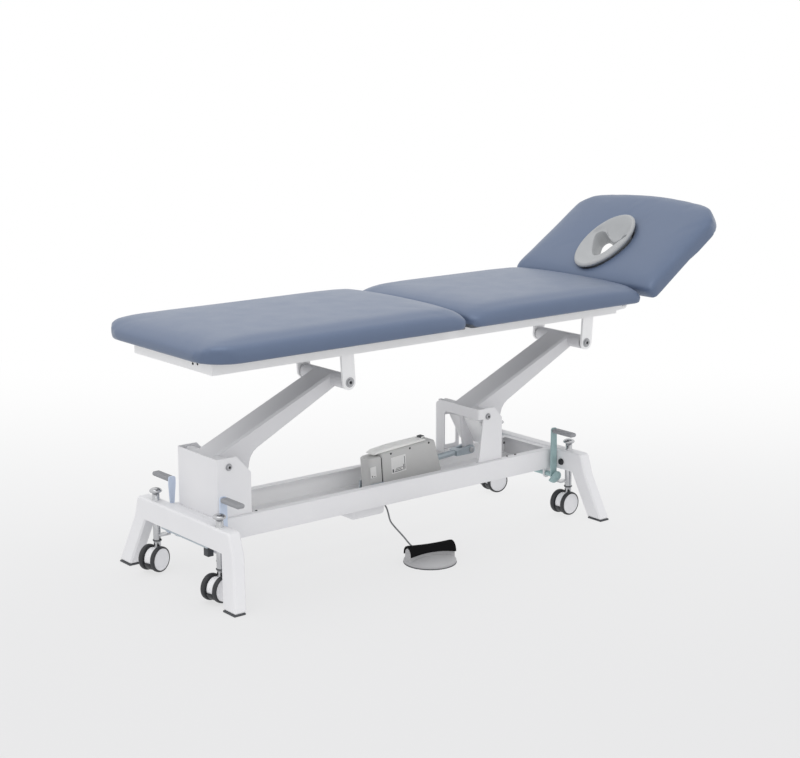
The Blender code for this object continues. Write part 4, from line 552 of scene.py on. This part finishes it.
def addCushion(name, values, hole=None):
    solid = linked(name, padShape(values))
    if hole:
        long, wide = (size * hole["seat"] for size in hole["half"])
        turns = around(hole["seatSteps"])
        loop = [(hole["x"] + long * math.cos(turn), wide * math.sin(turn)) for turn in turns]
        cutBy(solid, slab(loop, padding["plug"], Matrix.Identity(4)))
    cells = solid.modifiers.new("cells", "REMESH")
    cells.mode = "VOXEL"
    cells.voxel_size = padding["voxel"]
    baked(solid)
    ease = solid.modifiers.new("ease", "SMOOTH")
    ease.factor = 0.5
    ease.iterations = padding["eased"]
    baked(solid)
    puffed(solid, values["floor"], hole, stuffing)
    shape = bmesh.new()
    shape.from_mesh(solid.data)
    for step in range(padding["eased"]):
        loose = [vert for vert in shape.verts if vert.co.z > values["floor"] + padding["still"]]
        bmesh.ops.smooth_vert(shape, verts=loose, factor=0.5, use_axis_x=True, use_axis_y=True,
                              use_axis_z=True)
    if hole:
        placed(shape, headFrame)
    bpy.data.objects.remove(solid, do_unlink=True)
    node = values["node"]
    made = piece(name, shape, leatherette, bodyOf[node], (node,), angle=75)
    finer = made.modifiers.new("finer", "SUBSURF")
    finer.levels = 1
    finer.render_levels = 1


for cushionName, cushionValues in cushions.items():
    addCushion(cushionName, cushionValues, ring if cushionName == "headCushion" else None)

print("stage: face ring")


def ringRadius(values, turn):
    long, wide = values["half"]
    return (1 + values["egg"] * math.cos(turn)) / math.hypot(math.cos(turn) / long, math.sin(turn) / wide)


def throatLine(values, turns):
    half = [Vector(stop) for stop in values["throat"]]
    curve = sweptPoints([(-stop.x, stop.y, stop.z) for stop in reversed(half[1:])] + half, 1.0)
    pairs = list(zip(curve, curve[1:]))
    line = []
    for turn in turns:
        angle = math.degrees(math.atan2(math.sin(turn), math.cos(turn)))
        start, end = next((pair for pair in pairs if pair[0].x <= angle <= pair[1].x), pairs[0])
        share = (angle - start.x) / (end.x - start.x)
        line.append((start.y + (end.y - start.y) * share, start.z + (end.z - start.z) * share))
    return line


def addRing(values):
    rim = values["rim"]
    turns = around(values["steps"])
    radii = [ringRadius(values, turn) for turn in turns]
    throat = throatLine(values, turns)
    outside = [(share, values["under"] + rise) for share, rise in values["overUnder"]]
    outside += [(share, rim + rise) for share, rise in values["overRim"]]
    rows = [[(radius * share, z) for radius in radii] for share, z in outside]
    dishShare, dishRise = values["overRim"][-1]
    for step in range(1, values["dishSteps"] + 1):
        t = step / values["dishSteps"]
        fall = math.sin(t * math.pi / 2) ** values["dishCurve"]
        row = []
        for outer, (radius, edge) in zip(radii, throat):
            start = outer * dishShare
            row.append((start + (radius - start) * t, rim + dishRise + (edge - rim - dishRise) * fall))
        rows.append(row)
    for inset, drop in values["lip"]:
        rows.append([(radius - inset, edge - drop) for radius, edge in throat])
    for grow, z in values["tube"]:
        rows.append([(radius + grow, z) for radius, edge in throat])
    back = values["back"]
    rows.append([(max(outer * back["share"], radius + back["wall"]), min(edge - back["below"], back["most"]))
                 for outer, (radius, edge) in zip(radii, throat)])
    shape = lofted([[(values["x"] + radius * math.cos(turn), radius * math.sin(turn), z)
                     for turn, (radius, z) in zip(turns, row)] for row in rows], closed=True)
    piece("faceRing", placed(shape, headFrame), foamSkin, "head_section", ("face_ring",),
          angle=60)


addRing(ring)

print("stage: boards")
boards = {
    "flat": {"legBoard": ("leg_board", -0.738, 0.13, 0.095), "midBoard": ("mid_board", 0.15, 0.834, 0.01)},
    "half": 0.279, "corner": 0.01, "thick": 0.0096, "level": 0.6884, "edge": 0.0015,
    "head": {"low": 0.042, "high": 0.452, "half": 0.283, "corners": (0.01, 0.12), "levels": (0.0115, 0.0208),
             "gap": 0.007, "steps": 96},
}


def addBoards(values):
    for name, (node, low, high, corner) in values["flat"].items():
        loop = plate(low, high, values["half"], corner, values["corner"], steps=8)
        shape = slab(loop, values["thick"], Matrix.Translation((0, 0, values["level"])), values["edge"])
        piece(name, shape, liningCloth, bodyOf[node], (node,))
    head = values["head"]
    outer = finely(plate(head["low"], head["high"], head["half"], *head["corners"], steps=10))
    turns = around(head["steps"])
    inner = [(ring["x"] + (radius + head["gap"]) * math.cos(turn), (radius + head["gap"]) * math.sin(turn))
             for turn, (radius, edge) in zip(turns, throatLine(ring, turns))]
    shape = bmesh.new()
    edges = [hoop(shape, [(x, y, z) for x, y in loop])[1] for z in head["levels"] for loop in (outer, inner)]
    for one, other in ((0, 1), (2, 3), (0, 2), (1, 3)):
        bmesh.ops.bridge_loops(shape, edges=edges[one] + edges[other])
    bmesh.ops.recalc_face_normals(shape, faces=shape.faces)
    piece("headBoard", placed(shape, headFrame), liningCloth, "head_section", ("head_board",))


addBoards(boards)

print("stage: frame and base")
corners = ("foot_near", "foot_far", "head_near", "head_far")
skins = {  # width of the rounded edges
    powderCoat: {"base_trough": 0.001, "foot_end_bridge": 0.0025, "head_end_bridge": 0.0025,
                 "foot_end_tower": 0.0014, "belly_pan": 0.003},
    # the frames take the paler paint: painted light where they lie in the shade of the pads
    paintedLightCoat: {"top_frame": 0.0018, "head_frame": 0.0018},
    # the arms take the greyer paint: painted shade from the pads above
    paintedShadeCoat: {"foot_end_arm": 0.0018, "head_end_arm": 0.0018},
    chrome: {"rod_pin": 0.0008, "head_hinge_pin": 0.0008},
    zincPlate: {"actuator_cradle": 0.0008, "actuator_rod": 0.001, "fixed_hinge_leaf": 0.0006,
                "swinging_hinge_leaf": 0.0006},
    tealZinc: {"head_pedal_shaft": 0.0008},
    greyPlastic: {"actuator_housing": 0.003, "motor_cover": 0.0065},
    paleLitPlastic: {"actuator_cover": 0.003},
    charcoalPlastic: {"cable_gland": 0.0006},
    switchGrey: {"foot_switch_base": 0.001},
    greyRubber: {f"{corner}_pedal_pad": 0.0034 for corner in corners},
}
trough = {"wall": 0.02, "flat": 0.9, "lipLevel": 0.18}


def addSkins(values):
    for material, widths in values.items():
        for node, width in widths.items():
            dressed(node, material, width)


def paintLightIntoTrough(values):
    skin = bpy.data.objects["base_troughSkin"].data
    skin.materials.append(paintedLightCoat)
    for face in skin.polygons:  # walls and bottom inside the trough take the paler paint: painted light in the trough's shade
        centre = face.center - shift
        bottom = face.normal.z > values["flat"] and centre.z < values["lipLevel"]
        if bottom or face.normal.y * centre.y < -values["wall"]:
            face.material_index = 1


addSkins(skins)
paintLightIntoTrough(trough)

footLever = {"cuts": (0.15, 0.175, 0.2, 0.225, 0.245, 0.262), "farSide": 0.12, "low": 0.149, "high": 0.27,
             "spine": -0.63, "narrow": 0.55, "from": 0.262, "reach": 0.07, "edge": 0.0008}


def addFootShaft(values):
    shape = cadShape("foot_pedal_shaft")
    for height in values["cuts"]:
        bmesh.ops.bisect_plane(shape, geom=shape.verts[:] + shape.edges[:] + shape.faces[:],
                               plane_co=Vector((0, 0, height)) + shift, plane_no=(0, 0, 1))
    for vert in shape.verts:  # the far lever narrows downwards
        spot = vert.co - shift
        if spot.y > values["farSide"] and values["low"] < spot.z < values["high"]:
            share = min(1.0, max(0.0, (values["from"] - spot.z) / values["reach"]))
            vert.co.x += (values["spine"] - spot.x) * values["narrow"] * share
    dressed("foot_pedal_shaft", blueZinc, values["edge"], shape)


addFootShaft(footLever)

footCap = {"trim": (0.9, 0.91, 1, 1), "edge": 0.0006}


def addFootCaps(values):
    for corner in corners:
        node = corner + "_foot_pad"
        shape = cadShape(node)
        middle = sum((vert.co for vert in shape.verts), Vector()) / len(shape.verts)
        trim = Matrix.Translation(middle) @ Matrix.Diagonal(values["trim"]) @ Matrix.Translation(-middle)
        softened(placed(shape, trim), values["edge"], segments=2)
        piece(node + "Cap", shape, charcoalPlastic, bodyOf[node], (node,), inFrame=True)


addFootCaps(footCap)

tower = {
    "front": 0.332, "edge": 0.0014,
    "cuts": [  # view, place across, depth, outline with corner radii; from the window to the shoulder
        ("end", 0.0, 0.03,
         [(0.094, 0.2095, 0), (0.094, 0.347, 0.012), (-0.042, 0.347, 0.014), (-0.022, 0.2095, 0)]),
        ("side", -0.1055, 0.03, [(0.322, 0.212, 0), (0.336, 0.212, 0), (0.353, 0.347, 0), (0.322, 0.347, 0)]),
        ("side", 0.1055, 0.03,
         [(0.35, 0.222, 0.008), (0.418, 0.222, 0.008), (0.418, 0.322, 0.012), (0.354, 0.322, 0.012)]),
        ("side", 0.1055, 0.016,
         [(0.326, 0.374, 0), (0.34, 0.3765, 0), (0.3587, 0.3765, 0), (0.372, 0.3715, 0), (0.412, 0.352, 0),
          (0.46, 0.352, 0), (0.46, 0.39, 0), (0.326, 0.39, 0)]),
        ("side", 0.0, 0.3, [(0.43, 0.206, 0), (0.47, 0.206, 0), (0.47, 0.39, 0), (0.43, 0.39, 0)]),
        ("end", 0.0, 0.03,
         [(-0.112, 0.392, 0), (-0.084, 0.392, 0), (-0.084, 0.376, 0), (-0.0915, 0.3745, 0),
          (-0.0985, 0.37, 0), (-0.1035, 0.3625, 0), (-0.106, 0.353, 0), (-0.112, 0.353, 0)]),
    ],
}


def addHeadTower(values):
    node = "head_end_tower"
    solid = piece("headEndTower", cadShape(node), powderCoat, bodyOf[node], (node,), inFrame=True)
    facing = Matrix.Translation((values["front"], 0, 0)) @ endView(-1)
    for view, y, depth, outline in values["cuts"]:
        shape = slab(filleted(outline), depth, facing if view == "end" else sideView(y))
        cutBy(solid, placed(shape, toFrame))
    roundEdges(solid, values["edge"])


addHeadTower(tower)

screwHead = [(0, 0.002), (0.0018, 0.002), (0.0034, 0.0013), (0.004, 0.0003), (0.004, -0.0004), (0, -0.0004)]
knobHead = [(0, 0.0075), (0.0062, 0.0072), (0.0092, 0.0058), (0.0104, 0.0035), (0.0106, 0.0004), (0, 0.0004)]
tieRod = [(0, 0), (0.0026, 0), (0.0031, 0.0006), (0.0031, 0.2424), (0.0026, 0.243), (0, 0.243)]
fittings = {
    "web": {"loop": [(0.355, 0.337, 0.002), (0.4025, 0.249, 0.003), (0.409, 0.249, 0.003),
                     (0.3635, 0.337, 0.002)], "depth": 0.146, "y": -0.0095, "edge": 0.0012},
    "troughEnds": {"footTroughEnd": -0.6335, "headTroughEnd": 0.6335, "half": (0.0092, 0.117),
                   "levels": (0.2086, 0.2101), "edge": 0.0005},
    "screws": {  # place, direction, body
        "troughBolt0": ((0.6414, 0.115, 0.1822), (0, -1, 0), "base"),
        "lipBolt0": ((0.459, -0.099, 0.2101), (0, 0, 1), "base"),
        "lipBolt1": ((0.493, -0.1, 0.2101), (0, 0, 1), "base"),
        "lipBolt2": ((-0.496, -0.099, 0.2101), (0, 0, 1), "base"),
        "frameDot0": ((-0.6961, -0.108, 0.662), (-1, 0, 0), "top"),
        "frameDot1": ((-0.6961, -0.132, 0.665), (-1, 0, 0), "top"),
    },
    "knob": ((0.643, -0.157, 0.173), (-1, 0, 0)), "tie": ((-0.678, 0.115, 0.1447), (0, -1, 0)),
    "block": {"low": (-0.672, -0.12, 0.114), "high": (-0.653, -0.097, 0.1492), "edge": 0.0015},
}


def addFittings(values):
    web = values["web"]
    shape = slab(filleted(web["loop"]), web["depth"], sideView(web["y"]), web["edge"], segments=2)
    # the lever web takes the paler paint: painted light in the shade under the top
    piece("leverWeb", shape, paintedLightCoat, "head_arm")
    ends = values["troughEnds"]
    (long, wide), (low, high) = ends["half"], ends["levels"]
    for name in ("footTroughEnd", "headTroughEnd"):
        x = ends[name]
        cover = brick((x - long, -wide, low), (x + long, wide, high), ends["edge"], segments=2)
        piece(name, cover, powderCoat, "base")
    for name, (place, way, body) in values["screws"].items():
        piece(name, lathed(screwHead, 20, along(place, way)), blackSteel, body)
    piece("pedalStopKnob", lathed(knobHead, 28, along(*values["knob"])), blackSteel, "base")
    piece("footTieRod", lathed(tieRod, 20, along(*values["tie"])), zincPlate, "base")
    block = values["block"]
    piece("footTieBlock", brick(block["low"], block["high"], block["edge"]), charcoalPlastic, "base")


addFittings(fittings)

towerBolt = {"height": 0.354, "reach": 0.1058, "washer": 0.0105, "head": 0.0078, "socket": 0.0034}
hangerBolt = {"height": 0.5394, "reach": 0.1157, "washer": 0.015, "head": 0.01, "socket": 0.0044}
bolts = {
    "foot_end_tower_pin": (-0.588, towerBolt), "head_end_tower_pin": (0.371, towerBolt),
    "foot_end_hanger_pin": (-0.1736, hangerBolt), "head_end_hanger_pin": (0.7854, hangerBolt),
}
boltForm = {  # outline: a radius, the share of it, height over the reach
    "shank": 0.0078, "socketUp": 0.0031, "socketThick": 0.0008,
    "outline": (("head", 0, 0.003), ("head", 0.45, 0.003), ("head", 0.55, 0.0052), ("head", 0.9, 0.0052),
                ("head", 1, 0.0044), ("head", 1, 0.0012), ("washer", 0.96, 0.0012), ("washer", 1, 0.0008),
                ("washer", 1, 0.0001), ("shank", 1, 0.0001)),
    "collar": [(0.0082, 0.1018), (0.0165, 0.1018), (0.0178, 0.1026), (0.0178, 0.1066), (0.0165, 0.1072),
               (0.0082, 0.1072), (0.0082, 0.1018)],
}


def addPin(node, x, values):
    body, z, reach = bodyOf[node], values["height"], values["reach"]
    half = [(values[key] * share, reach + up) for key, share, up in values["outline"]]
    profile = half + [(radius, -height) for radius, height in reversed(half)]
    piece(node + "Bolt", lathed(profile, 36, along((x, 0, z), (0, 1, 0))), boltSteel, body, (node,))
    socket, thick = values["socket"], values["socketThick"]
    for side in (-1, 1):
        start = (x, side * (reach + values["socketUp"]), z)
        # a black hexagon in the head's recess: painted shade of the hex socket
        socketShade = lathed([(0, 0), (socket, 0), (socket, thick), (0, thick)], 6, along(start, (0, side, 0)))
        piece(f"{node}Socket{side}", socketShade, blackSteel, body, angle=20)
        if "hanger" in node:
            collar = lathed(values["collar"], 36, along((x, 0, z), (0, side, 0)))
            piece(f"{node}Washer{side}", collar, charcoalPlastic, body)


for pinNode, (pinPlace, pinSizes) in bolts.items():
    addPin(pinNode, pinPlace, {**boltForm, **pinSizes})

print("stage: actuator fittings")
drive = {
    "pin": (0.3797, 0.2293), "tilt": 4.0, "face": -0.0271,  # distances run from the pin along the actuator
    "screw": [(0, 0.0012), (0.0015, 0.0012), (0.003, 0.0008), (0.0034, 0.0002), (0.0034, -0.0006),
              (0, -0.0006)], "screwReach": (-0.329, -0.2545, -0.179), "screwUp": 0.0655,
    "labels": {"housingLabel": ((-0.33, 0), (-0.273, 0.052)),
               "motorLabel": ((-0.411, 0.006), (-0.389, 0.04))},
    "print": [((-0.279, 0.006), (-0.2768, 0.046)), ((-0.3265, 0.004), (-0.3215, 0.014)),
              ((-0.318, 0.004), (-0.288, 0.0062)), ((-0.315, 0.009), (-0.293, 0.0106)),
              ((-0.312, 0.0135), (-0.286, 0.015)), ((-0.284, 0.004), (-0.2815, 0.022)),
              ((-0.406, 0.008), (-0.403, 0.013)), ((-0.399, 0.008), (-0.393, 0.0096))],
    "paper": {"out": 0.0001, "thick": 0.0003, "corner": 0.0015},
    "ink": {"out": 0.00035, "thick": 0.0002, "corner": 0.0},
    "connector": {"seat": (-0.186, 0.0772, 0.004), "low": (-0.008, -0.01, 0), "high": (0.008, 0.01, 0.0075),
                  "mouthLow": (-0.0055, -0.0112, 0.0018), "mouthHigh": (0.0055, -0.0098, 0.006),
                  "edge": 0.0012, "mouthEdge": 0.0004},
    "seam": {"reach": -0.3664, "thick": 0.0011, "loop": [(-0.0272, -0.03, 0.003), (0.0272, -0.03, 0.003),
                                                         (0.0272, 0.064, 0.006), (-0.0272, 0.064, 0.006)]},
}


def onDrive(values, reach, up, y):
    turn = math.radians(values["tilt"])
    x, z = values["pin"]
    return Vector((x + reach * math.cos(turn) - up * math.sin(turn), y,
                   z + reach * math.sin(turn) + up * math.cos(turn)))


def addDriveFittings(values):
    tilt = Matrix.Rotation(-math.radians(values["tilt"]), 4, "Y")

    def patch(name, area, kind, material):
        (left, low), (right, high) = area
        wide, tall, corner = (right - left) / 2, (high - low) / 2, kind["corner"]
        loop = plate(-wide, wide, tall, corner, corner, steps=4)
        middle = onDrive(values, (left + right) / 2, (low + high) / 2, values["face"] - kind["out"])
        shape = slab(loop, kind["thick"], Matrix.Translation(middle) @ tilt @ sideView(0))
        piece(name, shape, material, "base")

    for index, reach in enumerate(values["screwReach"]):
        place = along(onDrive(values, reach, values["screwUp"], values["face"]), (0, -1, 0))
        piece(f"housingScrew{index}", lathed(values["screw"], 20, place), blackSteel, "base")
    for name, area in values["labels"].items():
        patch(name, area, values["paper"], labelPaper)
    for index, area in enumerate(values["print"]):
        patch(f"labelPrint{index}", area, values["ink"], labelInk)
    plug = values["connector"]
    seat = Matrix.Translation(onDrive(values, *plug["seat"])) @ tilt
    plugBody = brick(plug["low"], plug["high"], plug["edge"])
    piece("connector", placed(plugBody, seat), charcoalPlastic, "base")
    mouth = brick(plug["mouthLow"], plug["mouthHigh"], plug["mouthEdge"], segments=1)
    piece("connectorMouth", placed(mouth, seat), paleLitPlastic, "base")
    seam = values["seam"]
    place = Matrix.Translation(onDrive(values, seam["reach"], 0.0, 0.0)) @ tilt @ endView(1)
    piece("motorSeam", slab(filleted(seam["loop"]), seam["thick"], place), blackSteel, "base")


addDriveFittings(drive)

print("stage: foot switch")
saddle = {"centre": (-0.001, -0.272), "turn": -13, "long": 0.148, "axis": 0.032, "inner": 0.0189,
          "outer": 0.0238, "flare": 0.003, "innerFlare": 0.8, "waist": 78, "spread": 97, "rows": 16,
          "sides": 28, "ends": (0.93, 0.07, 0.0012), "lips": (0.97, 0.001, 0.0006),
          "skirt": [(0.074, 0.0001), (0.0786, 0.0001), (0.079, 0.0007), (0.079, 0.0024), (0.0784, 0.003),
                    (0.074, 0.003), (0.074, 0.0001)]}


def addSaddle(values):
    rows = []
    endStart, endReach, endRound = values["ends"]
    lipStart, lipOuter, lipInner = values["lips"]
    for step in range(2 * values["rows"] + 1):
        share = step / values["rows"] - 1
        wide = math.radians(values["waist"] + (values["spread"] - values["waist"]) * share**2)
        edge = max(0.0, (abs(share) - endStart) / endReach) * endRound
        outer = values["outer"] + values["flare"] * share**2 - edge
        inner = values["inner"] + values["flare"] * share**2 * values["innerFlare"] + edge * 0.5
        turns = [wide * (2 * index / values["sides"] - 1) for index in range(values["sides"] + 1)]
        loop = [(outer - lipOuter * (abs(turn) > wide * lipStart), turn) for turn in turns]
        loop += [(inner + lipInner * (abs(turn) > wide * lipStart), turn) for turn in reversed(turns)]
        x = share * values["long"] / 2
        rows.append([(x, -radius * math.sin(turn), values["axis"] + radius * math.cos(turn))
                     for radius, turn in loop])
    centre = Matrix.Translation((*values["centre"], 0))
    stand = centre @ Matrix.Rotation(math.radians(values["turn"]), 4, "Z")
    piece("switchSaddle", placed(lofted(rows), stand), blackRubber, "switch_pedal", ("foot_switch_pedal",),
          angle=50)
    piece("switchSkirt", lathed(values["skirt"], 72, centre), charcoalPlastic, "base")


addSaddle(saddle)

print("stage: wheels")
wheel = {  # profiles: radius and share of half the width
    "width": 0.015, "track": 0.044, "discBack": 0.0002,
    "tyre": [(0.0326, 0.66), (0.0332, 0.93), (0.0342, 1), (0.0354, 0.97), (0.0367, 0.82), (0.0376, 0.5),
             (0.038, 0.12), (0.038, -0.3), (0.0376, -0.66), (0.0366, -0.9), (0.035, -1), (0.025, -1),
             (0.0246, -0.9), (0.0246, 0.0), (0.0326, 0.0), (0.0326, 0.66)],
    "disc": [(0, 0.6), (0.01, 0.6), (0.0245, 0.56), (0.0293, 0.66), (0.031, 0.88), (0.032, 0.93),
             (0.0325, 0.82)],
    "hub": [(0.0, -0.3), (0.0244, -0.3), (0.0244, -0.84), (0.0225, -0.84), (0.0215, -0.5), (0.0085, -0.5),
            (0.008, -0.95), (0.0046, -0.95), (0.0046, -0.3)],
}


def addWheels(values):
    half = values["width"] / 2
    tyre, disc, hub = ([(radius, half * share) for radius, share in values[key]]
                       for key in ("tyre", "disc", "hub"))
    disc += [(disc[-1][0], values["discBack"]), (0.0, values["discBack"])]
    for corner in corners:
        for twin, sign in (("near", -1), ("far", 1)):
            joint = pivots[f"{corner}_roll_{twin}"]
            axis = Vector(joint["axis"]).normalized()
            centre = Vector(joint["pos_m"]) + axis * sign * values["track"] / 2
            stand = along(centre, axis * sign)
            body = f"{corner}_wheel_{twin}"
            for part, profile, steps, material, node, slot in (
                    ("Tyre", tyre, 48, tyreRubber, (body,), "charcoal_plastic"),
                    ("Disc", disc, 48, discPlastic, (), "white_plastic"),
                    ("Hub", hub, 32, whitePlastic, (), "white_plastic")):
                piece(body + part, lathed(profile, steps, stand), material, body, node, inFrame=True)


addWheels(wheel)

castor = {
    "guardInner": 0.0303, "guardOuter": 0.0345, "guardHalf": 0.0118, "from": 196, "to": 262, "guardSteps": 14,
    "guardEdge": 0.0008, "capLevel": 0.235, "capShare": 0.6,
    "drum": [(0, -0.0128), (0.0286, -0.0128), (0.03, -0.0114), (0.03, 0.0114), (0.0286, 0.0128), (0, 0.0128)],
    "neck": [(0, 0.056), (0.0106, 0.056), (0.0106, 0.087), (0.0098, 0.0878), (0.0098, 0.0898), (0, 0.0898)],
    "dome": [(0, 0.249), (0.006, 0.2486), (0.0115, 0.2473), (0.0158, 0.245), (0.0184, 0.2418), (0.0188, 0.24),
             (0.0182, 0.2376), (0.0166, 0.236), (0.0108, 0.2356), (0, 0.2356)],
    "collar": [(0.01, 0.09), (0.0128, 0.09), (0.0132, 0.0906), (0.0132, 0.0926), (0.0126, 0.0932),
               (0.01, 0.0932), (0.01, 0.09)],
}


def addCastor(corner, values):
    joint = pivots[f"{corner}_roll_near"]
    axle = Vector(joint["pos_m"])
    axis = Vector(joint["axis"]).normalized()
    swivel = Vector(pivots[f"{corner}_swivel"]["pos_m"])
    upright = Matrix.Translation((swivel.x, swivel.y, 0))
    ahead = Vector((swivel.x - axle.x, swivel.y - axle.y, 0)).normalized()
    section = [(values["guardInner"], -1), (values["guardOuter"], -1), (values["guardOuter"], 1),
               (values["guardInner"], 1)]
    rows = []
    for step in range(values["guardSteps"] + 1):
        turn = math.radians(values["from"] + (values["to"] - values["from"]) * step / values["guardSteps"])
        out = math.cos(turn) * ahead + math.sin(turn) * Vector((0, 0, 1))
        rows.append([axle + out * radius + axis * values["guardHalf"] * side for radius, side in section])
    castorBody, stemBody = f"{corner}_castor", f"{corner}_stem"
    guard = softened(lofted(rows), values["guardEdge"], segments=2)
    piece(corner + "Guard", guard, blackSteel, castorBody, inFrame=True)
    node = corner + "_castor_fork"
    drum = lathed(values["drum"], 48, along(axle, axis))
    piece(node + "Drum", drum, whitePlastic, castorBody, (node,), inFrame=True)
    piece(node + "Neck", lathed(values["neck"], 32, upright), chrome, castorBody, inFrame=True)
    node = corner + "_castor_stem"
    stem = cadShape(node)
    for vert in stem.verts:  # the cap's place is taken by the dome
        if vert.co.z > values["capLevel"]:
            vert.co.x = swivel.x + (vert.co.x - swivel.x) * values["capShare"]
            vert.co.y = swivel.y + (vert.co.y - swivel.y) * values["capShare"]
    piece(node + "Tube", stem, chrome, stemBody, (node,), inFrame=True)
    piece(corner + "CapDome", lathed(values["dome"], 40, upright), chrome, stemBody, inFrame=True)
    piece(corner + "Collar", lathed(values["collar"], 32, upright), charcoalPlastic, stemBody, inFrame=True)


for castorCorner in corners:
    addCastor(castorCorner, castor)

print("stage: studio")
studio = {
    "floor": "#C8C8CB", "floorSize": 80, "back": (0.625, 0.781, 0), "fade": (-1.7, 2.6), "level": 0.86,
    "share": 0.72, "horizon": 1.0, "zenith": 1.1, "aim": (0.1, 0, 0.45),
    "lamps": {"keyLamp": (24.0, (-1.0, -0.5, 3.3), 2.6), "fillLamp": (2.0, (-3.4, -3.0, 1.6), 2.4)},
}


def addWorld(values):
    world = bpy.data.worlds.new("studio")
    world.use_nodes = True
    bpy.context.scene.world = world
    shine = world.node_tree.nodes["Background"]
    shine.inputs["Color"].default_value = (1, 1, 1, 1)
    heading = addNode(world, "ShaderNodeTexCoord").outputs["Generated"]
    height = addNode(world, "ShaderNodeSeparateXYZ", {"Vector": heading}).outputs["Z"]
    glow = addNode(world, "ShaderNodeMapRange", {"Value": height, "From Min": 0.0, "From Max": 1.0,
                                                 "To Min": values["horizon"], "To Max": values["zenith"]},
                   interpolation_type="SMOOTHSTEP").outputs["Result"]
    rays = addNode(world, "ShaderNodeLightPath").outputs
    seen = addNode(world, "ShaderNodeMath", {0: rays["Is Camera Ray"], 1: rays["Is Transmission Ray"]},
                   operation="MAXIMUM").outputs["Value"]
    shown = addNode(world, "ShaderNodeMath", {0: seen, 1: rays["Is Glossy Ray"]},
                    operation="MAXIMUM").outputs["Value"]
    strength = addNode(world, "ShaderNodeMix", {"Factor": shown, "A": glow, "B": 1.0}, data_type="FLOAT")
    world.node_tree.links.new(strength.outputs["Result"], shine.inputs["Strength"])


def addFloor(values):
    floor = bmesh.new()
    bmesh.ops.create_grid(floor, x_segments=1, y_segments=1, size=values["floorSize"])
    ground = linked("studioFloor", floor)
    material = bpy.data.materials.new("studioFloor")
    material.use_nodes = True
    nodes = material.node_tree.nodes
    nodes.remove(nodes["Principled BSDF"])
    place = addNode(material, "ShaderNodeTexCoord").outputs["Object"]
    back = addNode(material, "ShaderNodeVectorMath", {0: place, 1: values["back"]},
                   operation="DOT_PRODUCT").outputs["Value"]
    near, far = values["fade"]
    fade = addNode(material, "ShaderNodeMapRange", {"Value": back, "From Min": near, "From Max": far},
                   interpolation_type="SMOOTHSTEP").outputs["Result"]
    level, share = (addNode(material, "ShaderNodeMapRange", {"Value": fade, "To Min": values[key]})
                    .outputs["Result"] for key in ("level", "share"))
    matt = addNode(material, "ShaderNodeBsdfDiffuse", {"Color": tint(values["floor"])}).outputs["BSDF"]
    white = addNode(material, "ShaderNodeEmission", {"Color": (1, 1, 1, 1), "Strength": level})
    mix = addNode(material, "ShaderNodeMixShader", {0: share, 1: matt, 2: white.outputs["Emission"]})
    material.node_tree.links.new(mix.outputs["Shader"], nodes["Material Output"].inputs["Surface"])
    ground.data.materials.append(material)


def addLamps(values):
    for name, (energy, spot, size) in values["lamps"].items():
        light = bpy.data.lights.new(name, "AREA")
        light.energy = energy
        light.shape = "SQUARE"
        light.size = size
        lamp = bpy.data.objects.new(name, light)
        lamp.location = Vector(spot) + shift
        lamp.rotation_mode = "QUATERNION"
        lamp.rotation_quaternion = (Vector(values["aim"]) - Vector(spot)).to_track_quat("-Z", "Y")
        bpy.context.scene.collection.objects.link(lamp)


addWorld(studio)
addFloor(studio)
addLamps(studio)
